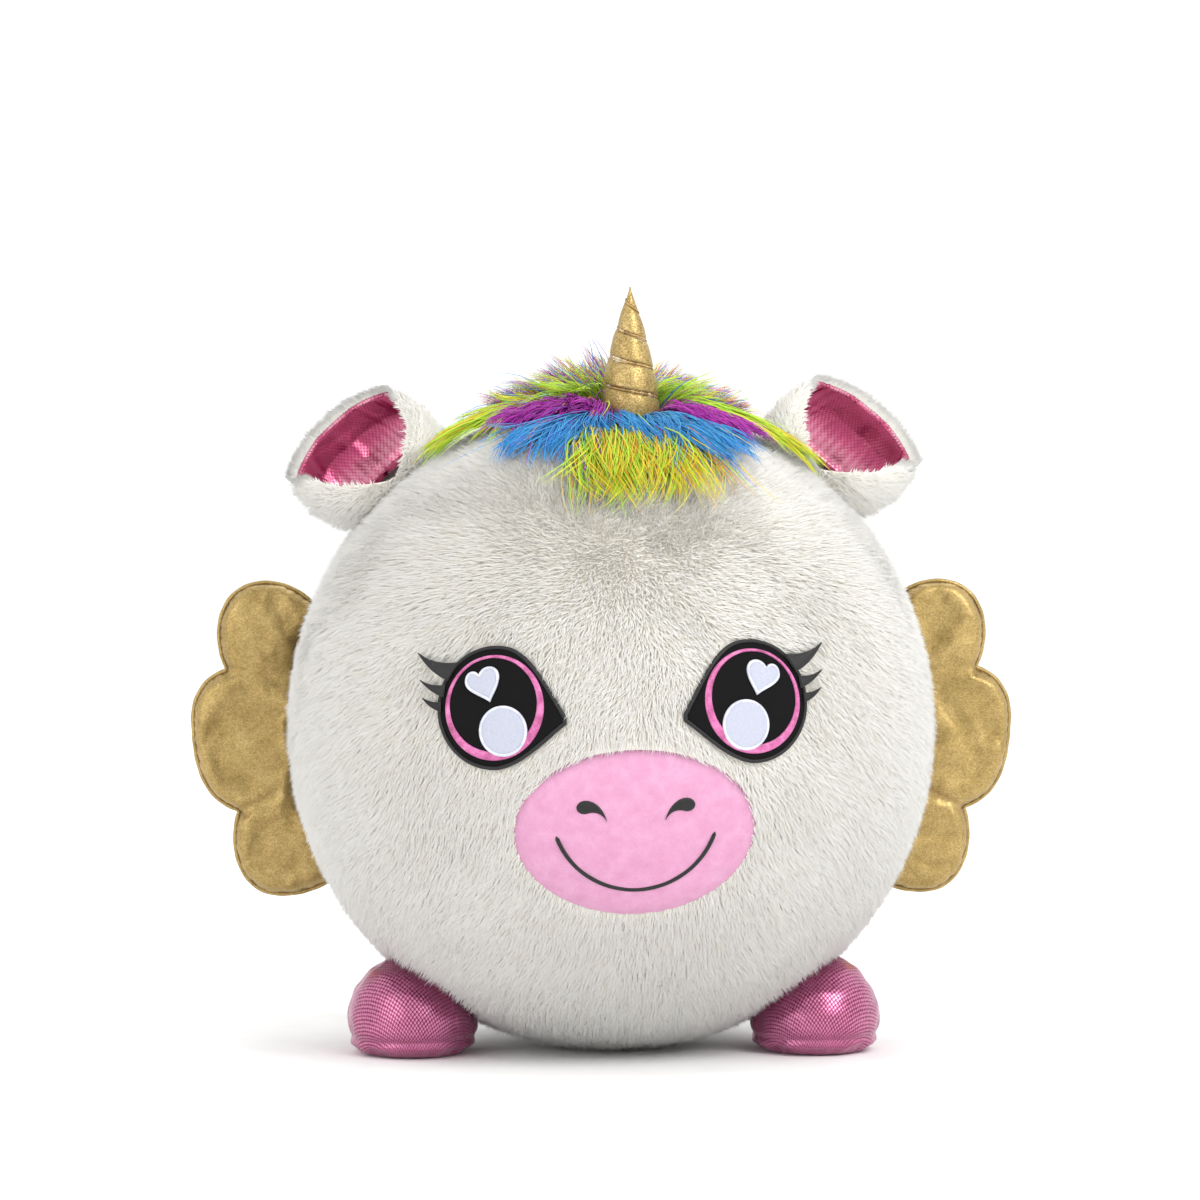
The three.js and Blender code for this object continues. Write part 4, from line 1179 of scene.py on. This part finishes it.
def mane_crown():
    names, *columns = zip(*crown_bands)
    outward, rightward, backward, longest, arch, standing = (np.array(c) for c in columns)
    yellow, blue, magenta, lime, orange, _, magenta_again = range(len(crown_bands))
    random = np.random.default_rng(71)
    rays = ball_roots(1.3 * mm, 19)
    rays = rays[rays[:, 2] > 0.7]
    behind_forelock = rays[:, 1] * pile_radius - crown_middle[1] > -58 * mm
    rays = rays[~(behind_forelock & (random.uniform(size=len(rays)) < 0.42))]
    points = ball_centre + rays * (pile_radius - 1 * mm)
    offset = (points[:, :2] - crown_middle) / crown_half
    offset += ripple(points, 30 * mm, 4)[:, None] * 0.05
    free = np.linalg.norm(points[:, :2] - horn_middle, axis=1)
    keep = (np.linalg.norm(offset, axis=1) < 0.98) & (free > mane_clearance)
    rays, points, free = rays[keep], points[keep], free[keep]
    x = points[:, 0] - crown_middle[0]
    y = points[:, 1] - crown_middle[1] + ripple(points, 45 * mm, 6) * 4 * mm
    bands = np.searchsorted(band_ends, y)
    forelock = (bands == yellow) & (x > -36 * mm) & (x < 58 * mm)
    bands[(bands == yellow) & ~forelock] = blue
    choice = bands.copy()
    dye_draw = random.uniform(size=len(x))
    choice[forelock & (dye_draw < 0.42 + 6 * (0.012 - x))] = lime
    choice[forelock & (dye_draw > 0.93)] = orange
    choice[(bands == lime) & (np.abs(x) > 45 * mm) & (random.uniform(size=len(x)) < 0.3)] = yellow
    stray = random.uniform(size=len(x)) < 0.04
    choice[stray] = random.integers(0, 6, stray.sum())
    spread = x / crown_half[0]
    side = outward[bands] * spread + rightward[bands]
    side = side + random.normal(size=len(x)) * 0.16 + ripple(points, 26 * mm, 12) * 0.3
    flow = tangent(rays, side, backward[bands], -0.2)
    length = longest[bands] * mm * random.uniform(0.62, 1.08, len(x))
    length *= 1 + 0.3 * ripple(points, 11 * mm, 16)
    length *= np.where(forelock & (random.uniform(size=len(x)) < 0.1), 1.25, 1)
    length *= np.where(bands >= lime, 1.25 - 0.5 * np.abs(spread), 1)
    length *= np.where((bands == blue) & (np.abs(x) > 30 * mm), 1.25, 1)
    sweep = (bands == lime) & (np.abs(x) > 36 * mm)
    length = np.where(sweep, random.uniform(70, 98, len(x)) * mm, length)
    lift = arch[bands] * mm * random.uniform(0.6, 1.3, len(x))
    near_horn = np.exp(-np.maximum(free - mane_clearance, 0) / (16 * mm))
    upright = standing[bands] + 0.35 * near_horn * (bands >= lime)
    spiky = (bands == magenta) & (x < -22 * mm) & (random.uniform(size=len(x)) < 0.5)
    upright = upright + 0.6 * spiky
    upright = np.clip(np.where(sweep, 0, upright + 0.1 * random.normal(size=len(x))), 0, 1)
    tufts = np.floor((ripple(points, 12 * mm, 18) * 0.9 + 0.5) * 5).astype(int) % 5
    mixed = (bands >= orange) & (random.uniform(size=len(x)) < 0.85)
    choice[mixed] = np.array([lime, magenta, blue, yellow, magenta_again])[tufts[mixed]]
    tones = dyed(random, names, choice)
    front = y < -17 * mm
    for name, part in (("front", front), ("rear", ~front)):
        piece = long_locks(f"mane_crown_{name}", points[part], rays[part], flow[part],
                           length[part], lift[part], upright[part], tones[part], seed=73)
        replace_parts(piece, "mane_crown")


lock_dyes = ["magenta", "blue", "lime", "yellow", "orange", "violet"]


def mane_strip():
    random = np.random.default_rng(79)
    rays = ball_roots(2.3 * mm, 29)
    points = ball_centre + rays * (pile_radius - 1 * mm)
    offset = (points[:, :2] - crown_middle) / crown_half
    x = points[:, 0] - crown_middle[0]
    keep = ((points[:, 2] > strip_low + 6 * mm) & (points[:, 1] > crown_middle[1])
            & (np.abs(x + ripple(points, 40 * mm, 8) * 4 * mm) < strip_half)
            & (np.linalg.norm(offset, axis=1) > 0.97))
    rays, points, x = rays[keep], points[keep], x[keep]
    along = (np.arctan2(points[:, 1], points[:, 2] - ball_centre[2]) * pile_radius
             + ripple(points, 40 * mm, 14) * 5 * mm)
    choice = (np.floor(along / (27 * mm)).astype(int) + 1) % 6
    stray = random.uniform(size=len(x)) < 0.05
    choice[stray] = random.integers(0, 6, stray.sum())
    side = (0.9 * x / strip_half + random.normal(size=len(x)) * 0.2
            + ripple(points, 30 * mm, 15) * 0.3)
    flow = tangent(rays, side, 0.6, -1.0)
    length = random.uniform(42, 62, len(x)) * mm
    lift = random.uniform(4, 11, len(x)) * mm
    upright = np.clip(0.18 + 0.14 * random.normal(size=len(x)), 0, 0.7)
    piece = long_locks("mane_strip_locks", points, rays, flow, length, lift, upright,
                       dyed(random, lock_dyes, choice), seed=83)
    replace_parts(piece, "mane_strip")


mane_crown()
mane_strip()


# ---- Tail ----
# A hank of the same rainbow pile gathered into a short stitched root and sewn on at the middle of
# the back. It hangs down over the fur, full in the middle and ragged at the end.
def joint_named(name):
    return next(joint for joint in frame["joints"] if joint["name"] == name)


def tail():
    random = np.random.default_rng(91)
    low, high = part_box("tail")
    top = np.array(joint_named("tail_lift")["pos_m"])
    length = top[2] - low.z
    half_x, half_y = (high.x - low.x) / 2, 0.7 * (high.x - low.x) / 2
    count, steps = 2600, 9
    turns = random.uniform(0, 2 * math.pi, count)
    share = np.sqrt(random.uniform(0.05, 1, count))
    s = np.linspace(0, 1, steps)
    swell = np.interp(s, [0, 0.14, 0.36, 0.56, 0.78, 1.0], [0.2, 0.5, 0.84, 1.0, 1.0, 0.8])
    reach = length * (0.7 + 0.3 * random.uniform(0, 1, count) ** 0.6)
    tilt = (high.y - top[1] - half_y) / length
    wander = ripple(np.column_stack([turns, share, 0 * share]), 1.5, 93)
    round_x = share[:, None] * np.cos(turns)[:, None]
    round_y = share[:, None] * np.sin(turns)[:, None]
    x = top[0] + round_x * half_x * swell + wander[:, None] * 4 * mm * s ** 2
    y = top[1] + round_y * half_y * swell + tilt * length * s
    z = top[2] + 4 * mm - reach[:, None] * s
    lines = np.stack([x, y, z], axis=2)
    outward = normalised(np.column_stack([np.cos(turns), np.sin(turns), 0 * turns]))
    roots = np.column_stack([np.cos(turns) * share, np.sin(turns) * share, 0 * share]) * 30 * mm
    lines, _ = clumped(roots, lines, 7 * mm, 0.6, 97)
    choice = np.floor((turns + 0.5 * wander) / (2 * math.pi) * 12).astype(int) % 6
    taper = np.array([0.9, 1.2, 1.3, 1.3, 1.25, 1.1, 0.9, 0.6]) * mm
    widths = taper * random.uniform(0.7, 1.3, (count, 1))
    piece = pile("tail_locks", lines, widths, outward, dyed(random, lock_dyes, choice), "tail")
    dress(piece, rainbow)
    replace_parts(piece, "tail")
    knot = [top + (7 * mm * math.cos(t), 5 * mm * math.sin(t), -5 * mm)
            for t in np.linspace(0, 2 * math.pi, 33)[:-1]]
    # A short tab of white ribbon, sewn into the back seam, carries the gathered root.
    start = np.array([top[0], ball_centre[1] + backing_radius - 10 * mm, top[2] + 1 * mm])
    tab = [start + (top + (0, 3 * mm, -1 * mm) - start) * t for t in np.linspace(0, 1, 9)]
    tube("tail_tab", tab, np.linspace(8, 5.5, 9) * mm, white_thread, sides=16)
    tube("tail_binding", knot, np.full(len(knot), 1.6 * mm), white_thread, "tail",
         closed=True)


tail()


# ---- Ears ----
# Each ear is a wide scoop: a fur shell whose sides fold forward and meet low down in front, lined
# with pink foil knit that is turned over the free edge in a thin puckered roll. The root is sewn to
# the ball all round, so the ear bends over it.
pink_lining = foil_finish("pink_foil_lining", "#861443", "#A93A64", "#C98097", 2.4 * mm, "paleness_and_painted_light")


def paint(piece, amounts):
    """How pale the foil is at each point: paler in the hollow, darker as painted shade under the
    rim and towards the root, and in painted highlights along the rolled edge.
    """
    paleness_and_painted_light = piece.data.attributes.new("paleness_and_painted_light", "FLOAT", "POINT")
    paleness_and_painted_light.data.foreach_set("value", amounts.astype(np.float32))


def ear(side):
    sign = -1 if side == "left" else 1
    joint = joint_named(f"ear_{side}_bend")
    pivot, across = np.array(joint["pos_m"]), np.array(joint["axis"])
    outwards = normalised(pivot - ball_centre)
    axes = np.array([across, [0, 1, 0], outwards])
    inner_gape, outer_gape = 68, 55

    def cup(turn, rise, inwards, fold=0.0):
        """A point of the scoop: turn 0 is the middle of its back, and pi the fold in front."""
        inner = np.sin(turn) < 0
        gape = np.where(inner, inner_gape, outer_gape) * math.pi / 180
        opening = gape * np.clip((rise - 0.1) / 0.9, 0, 1) ** 0.75
        turn = np.clip(np.abs(turn) / math.pi, 0, 1) * (math.pi - opening) * np.where(inner, -1, 1)
        width = np.maximum(np.interp(rise, [0, 0.25, 0.6, 1], [50, 56, 60, 57]) * mm - inwards,
                           0.5 * mm)
        depth = np.maximum(np.interp(rise, [0, 0.3, 0.7, 1], [21, 27, 26, 19]) * mm - inwards,
                           0.3 * mm)
        rim = (66 - 17 * np.clip((np.abs(turn) - 0.35) / 1.9, 0, 1) ** 1.2) * mm
        x = (-6 * (1 - rise)) * mm + width * np.sin(turn)
        y = depth * np.cos(turn) + 2 * mm
        z = rise * rim - x ** 2 / (2 * pile_radius) - 3 * mm
        local = np.stack([x * sign, y, z], axis=-1)
        radial = np.stack([np.sin(turn) * sign, np.cos(turn), 0.25 + 0 * turn], axis=-1)
        return pivot + (local + normalised(radial) * np.asarray(fold)[..., None]) @ axes

    def scoop(name, outer, inner, folds, columns, rows, material, floor=0.0):
        """Two layers of the scoop, closed over at the root below the rise given as its floor."""
        turn, rise = np.meshgrid(np.linspace(-math.pi, math.pi, columns), np.linspace(0, 1, rows))
        crease = folds(turn, rise)
        level = np.maximum(rise, floor)
        closing = 62 * mm * np.clip((floor - rise) / max(floor, 0.01), 0, 1)
        layers = [cup(turn, level, inwards + closing, crease) for inwards in (outer, inner)]
        points = np.vstack([layer.reshape(-1, 3) for layer in layers])
        piece = new_piece(name, points, sheet_faces(rows, columns), None)
        face_outwards(piece)
        dress(piece, material)
        return piece

    def bends(piece):
        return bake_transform(piece)

    seed = 101 if side == "left" else 103
    shell = scoop(f"ear_backing_{side}", 5 * mm, 7 * mm, lambda t, r: 0 * t, 90, 26, fur_backing)
    bends(shell)
    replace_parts(shell, f"ear_shell_{side}")

    def folds(turn, rise):
        """Creases of the lining, which run up it, and slack dents between them."""
        radial = (np.sin(turn * 3.1 + 0.7) * 0.6 + np.sin(turn * 7.3 + seed) * 0.5
                  + np.sin(turn * 13.7) * 0.25)
        dent = ripple(np.stack([turn * 18 * mm, rise * 60 * mm, 0 * rise], axis=-1), 30 * mm, seed)
        return -(np.clip(radial, -0.2, 1.4) * 3.2 * mm * rise * (1.15 - rise) * 2
                 + dent * 1.8 * mm * np.sin(math.pi * rise))

    columns, rows = 150, 44
    lining = scoop(f"ear_foil_{side}", 7.6 * mm, 8.8 * mm, folds, columns, rows, pink_lining,
                   0.2)
    turn, rise = np.meshgrid(np.linspace(-math.pi, math.pi, columns), np.linspace(0, 1, rows))
    # Painted shade: the lining is darkest under the rim and towards the root and paler in the
    # hollow, with fine bands across it.
    hollow = np.exp(-((rise - 0.42 + 0.1 * np.cos(turn * 1.2)) / 0.24) ** 2)
    pale_hollow_shaded_rim = hollow * (0.8 + 0.2 * np.sin(turn * 38))
    paint(lining, np.tile(pale_hollow_shaded_rim.ravel(), 2))
    print_on(lining, np.tile(np.column_stack([turn.ravel() * 40 * mm, rise.ravel() * 60 * mm]),
                             (2, 1)))
    bends(lining)
    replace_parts(lining, f"ear_lining_{side}")

    sides, stitches = 8, np.arange(260)
    turn_at = np.linspace(-math.pi, math.pi, len(stitches))
    puckers = 0.35 * mm * np.sin(turn_at * 60 + 3 * np.sin(turn_at * 7))
    line = cup(turn_at, 1.0 + 0 * turn_at, 7.0 * mm, puckers) + outwards * 0.6 * mm
    radii = 1.9 * mm + 0.35 * mm * np.sin(stitches * 1.7)
    roll = tube(f"ear_rim_{side}", line, radii, pink_lining, None, sides=sides)
    print_on(roll, np.column_stack([np.repeat(turn_at * 50 * mm, sides),
                                    np.tile(np.arange(sides) * 1.5 * mm, len(stitches))]))
    # Painted highlights and shade: the glossy roll's colour pales and darkens in bands along it.
    paint(roll, np.repeat(0.7 + 0.35 * np.sin(stitches * 0.16), sides))
    bends(roll)

    random = np.random.default_rng(seed)
    count = 15000
    turn = random.uniform(-math.pi, math.pi, count)
    rise = random.uniform(0.0, 1.0, count) ** 0.9
    edge = random.uniform(size=count) < 0.2
    rise[edge] = random.uniform(0.94, 1.0, edge.sum())
    flap = np.clip((np.abs(turn) / math.pi - 0.84) / 0.16, 0, 1)
    knit, step = 5.5 * mm, 0.02
    roots = cup(turn, rise, knit)
    along_turn = cup(turn + step, rise, knit) - cup(turn - step, rise, knit)
    higher = np.minimum(rise + step, 1)
    along_rise = cup(turn, higher, knit) - cup(turn, higher - 2 * step, knit)
    normals = normalised(np.cross(along_turn, along_rise))
    outside = ((roots - (pivot + outwards * 28 * mm)) * normals).sum(1) > 0
    normals = np.where(outside[:, None], normals, -normals)
    at_rim = (edge | (rise > 0.92))[:, None]
    normals = np.where(at_rim, normalised(0.35 * normals + normalised(along_rise)), normals)
    sideways = (random.normal(size=count) * 0.35 + np.sign(turn) * flap)[:, None]
    flow = normalised(normalised(along_rise) * 0.9 + np.array([0, 0, -0.35])
                      + normalised(along_turn) * sideways)
    length = random.uniform(8.5, 12.5, count) * mm * (1 - 0.25 * flap)
    stand = np.clip(0.8 - 0.3 * edge + 0.2 * random.normal(size=count), 0.1, 1.4)
    tips = hair_tips(roots, normals, flow, stand, length)
    lines, _ = clumped(roots, np.stack([roots, tips], axis=1), clump_size, 0.4, seed + 1)
    widths = hair_width * random.uniform(0.7, 1.25, (count, 1))
    fur = pile(f"ear_fur_{side}", lines, widths, normals, random.uniform(0, 1, count), None)
    dress(fur, white_fur)
    bends(fur)


for side in ("left", "right"):
    ear(side)


# ---- Wings ----
# Three-lobed wings of gold lamé: two layers seamed together, turned, lightly filled and edged with
# the rolled seam. Small creases run in from the notches, and a doubled band of the cloth at the
# root is sewn into the ball's side seam.
def wing_shape():
    plane = math.sqrt((pile_radius / mm) ** 2 - 108 ** 2)

    def root(height):
        return math.sqrt(plane ** 2 - height ** 2) - plane

    lobes = bezier((root(84), 84), ((-4, 103), (24, 114), (44, 104)),
                   ((63, 96), (71, 66), (57, 38)),
                   ((82, 31), (87, 8), (84.5, -10)), ((83, -42), (75, -66), (48, -74)),
                   ((58, -104), (47, -134), (26, -140)),
                   ((4, -145), (-20, -136), (root(-122), -122)))
    inner = np.array([(root(h), h) for h in (-106, -90)] + [(3, -60), (3, 60)])
    return np.vstack([lobes, inner]) * mm


def wing(side):
    sign = -1 if side == "left" else 1
    hinge = np.array(joint_named(f"wing_{side}_swing")["pos_m"])
    half_thick = hinge[1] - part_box(f"wing_front_{side}")[0].y
    outline = inset(evenly(wing_shape(), 4 * mm, closed=True), -0.6 * mm)
    flat, triangles = flat_cloth(outline, 4.4 * mm)
    count, rim = len(flat), len(outline)
    depth = np.maximum(-inside(flat, outline), 0)
    rise = (half_thick + 2 * mm) * np.sqrt(1 - (1 - np.clip(depth / (12 * mm), 0, 1)) ** 2)
    rise = rise * (1 - 0.05 * ripple(np.column_stack([flat, 0 * depth]), 70 * mm, 111))
    sheets = [np.column_stack([flat[:, 0] * sign, face * rise, flat[:, 1]]) + hinge
              for face in (-1, 1)]
    inner = slice(rim, count)
    back_index = np.arange(count)
    back_index[rim:] = count + np.arange(count - rim)
    points = np.vstack([sheets[0], sheets[1][inner]])
    faces = [tuple(f) for f in triangles] + [tuple(back_index[list(f[::-1])]) for f in triangles]
    held = np.zeros(len(points), bool)
    held[:rim] = True
    held |= np.abs(points[:, 0] - hinge[0]) < 5 * mm
    flat_all = np.vstack([flat, flat[inner]])
    depth_all = np.concatenate([depth, depth[inner]])
    face_sign = np.concatenate([-np.ones(count), np.ones(count - rim)])
    face_sign[:rim] = 0
    gather_seed = {"left": 113, "right": 117}[side]
    gathers = ripple(np.column_stack([flat_all, 0 * depth_all]), 15 * mm, gather_seed)
    points[:, 1] += (face_sign * gathers * 1.1 * mm * np.exp(-depth_all / (12 * mm))
                     * np.clip(depth_all / (3 * mm), 0, 1))
    for notch, towards in (((57, 38), (-0.95, -0.15)), ((48, -74), (-0.9, 0.35))):
        start = np.array(notch) * mm
        direction = normalised(np.array(towards, float))
        offset = flat_all - start
        ahead = offset @ direction
        away = np.abs(offset @ np.array([-direction[1], direction[0]]))
        inwards = np.maximum(ahead, 0)
        dent = (np.exp(-(away / (3.2 * mm + 0.1 * inwards)) ** 2) * np.clip(ahead / (6 * mm), 0, 1)
                * np.exp(-inwards / (26 * mm)))
        points[:, 1] -= face_sign * dent * 3.4 * mm
    if side == "right":
        # This wing has one long crease across its middle lobe.
        offset = flat_all - np.array([30, 10]) * mm
        direction = normalised(np.array([0.55, -0.83]))
        away = offset @ np.array([-direction[1], direction[0]])
        ahead = np.abs(offset @ direction)
        points[:, 1] -= (face_sign * 3 * mm * np.exp(-(away / (4 * mm)) ** 2)
                         * np.clip(1 - ahead / (58 * mm), 0, 1))
    points = inflated(points, faces, held, 1.6, 0.03, 3.5 * mm)
    least = 0.8 * np.concatenate([rise, rise[inner]])
    out = np.clip((points[:, 1] - hinge[1]) * face_sign, least, half_thick + 4 * mm)
    points[:, 1] = np.where(face_sign == 0, hinge[1], hinge[1] + face_sign * out)
    piece = subdivided(new_piece(f"wing_{side}_shell", points, faces, f"wing_{side}"))
    face_outwards(piece)
    dress(piece, gold_lame)
    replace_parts(piece, f"wing_front_{side}", f"wing_back_{side}")

    # The root band between the ball and the wing.
    rows, columns = 40, 12
    heights, across = np.meshgrid(np.linspace(-59, 59, rows) * mm, np.linspace(0, 1, columns),
                                  indexing="ij")
    plane = pile_radius ** 2 - (hinge[1] - ball_centre[1]) ** 2
    sunk = np.sqrt(plane - heights ** 2) - 8 * mm - (sign * hinge[0])
    x = sunk + (9 * mm - sunk) * across
    rounded = np.sqrt(np.clip(1 - (heights / (59.5 * mm)) ** 8, 0, 1))
    puff = (2.2 + 1.3 * across) * mm * rounded + 0.2 * mm
    puff = puff * (1 + 0.12 * np.sin(heights / (2.3 * mm)))
    band = np.vstack([np.column_stack([(x * sign).ravel(), (face * puff).ravel(), heights.ravel()])
                      + hinge for face in (-1, 1)])
    root = new_piece(f"wing_{side}_root", band, sheet_faces(rows, columns), None)
    face_outwards(root)
    dress(root, gold_lame)
    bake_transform(root)

    edge = evenly(outline, 1.6 * mm, closed=True)
    tight = np.sin(np.arange(len(edge)) * 0.63) * 0.12 * mm
    line = np.column_stack([edge[:, 0] * sign, 0 * tight, edge[:, 1]]) + hinge
    tube(f"wing_{side}_seam", line, 1.7 * mm + tight, gold_lame, f"wing_{side}",
         closed=True)


for side in ("left", "right"):
    wing(side)


# ---- Setting ----
# A plain white paper floor under broad soft lights, the main one high on the right of the camera.
def setting():
    material, shader = new_material("white_studio_paper", {"Roughness": 0.9})
    grain = add(material, "TexNoise",
                {"Vector": add(material, "TexCoord").outputs["Object"], "Scale": 30})
    shade = add(material, "ValToRGB", {"Fac": grain.outputs["Fac"]},
                stops=((0.3, "#F6F6F6"), (0.7, "#FAFAFA")))
    link(material, shade.outputs["Color"], shader.inputs["Base Color"])
    mesh = bpy.data.meshes.new("floor")
    half = 14
    corners = [(-half, -half, 0), (half, -half, 0), (half, half, 0), (-half, half, 0)]
    mesh.from_pydata(corners, [], [(0, 1, 2, 3)])
    floor = bpy.data.objects.new("floor", mesh)
    bpy.context.scene.collection.objects.link(floor)
    floor.location.z = -0.2 * mm
    floor.data.materials.append(material)

    world = bpy.context.scene.world or bpy.data.worlds.new("studio")
    bpy.context.scene.world = world
    world.use_nodes = True
    sky = world.node_tree.nodes["Background"]
    sky.inputs["Color"].default_value = linear("#FFFFFF")
    sky.inputs["Strength"].default_value = 1.12
    bpy.context.scene.view_settings.view_transform = "Standard"
    for name, place, size, power in (("key", (1.7, -2.4, 2.3), 1.6, 62),
                                     ("fill", (-2.2, -2.2, 1.2), 2.0, 18),
                                     ("back", (0.3, 2.2, 2.4), 1.8, 18)):
        lamp = bpy.data.lights.new(name, "AREA")
        lamp.size, lamp.energy = size, power
        light = bpy.data.objects.new(name, lamp)
        bpy.context.scene.collection.objects.link(light)
        light.location = place
        aim = Vector(ball_centre) - Vector(place)
        light.rotation_euler = aim.to_track_quat("-Z", "Y").to_euler()

    azimuth, elevation, distance = math.radians(-3.4), math.radians(3), 4.5
    back = Vector((math.sin(azimuth) * math.cos(elevation),
                   -math.cos(azimuth) * math.cos(elevation), math.sin(elevation)))
    turn = (-back).to_track_quat("-Z", "Y")
    lens = bpy.data.cameras.new("camera")
    lens.lens, lens.sensor_width = 171.97, 36
    camera = bpy.data.objects.new("camera", lens)
    bpy.context.scene.collection.objects.link(camera)
    camera.rotation_mode = "QUATERNION"
    camera.rotation_quaternion = turn
    off_centre = Vector((-8.6 * mm, 98.9 * mm, 0))
    camera.location = Vector(ball_centre) + back * distance + turn @ off_centre
    bpy.context.scene.camera = camera


setting()
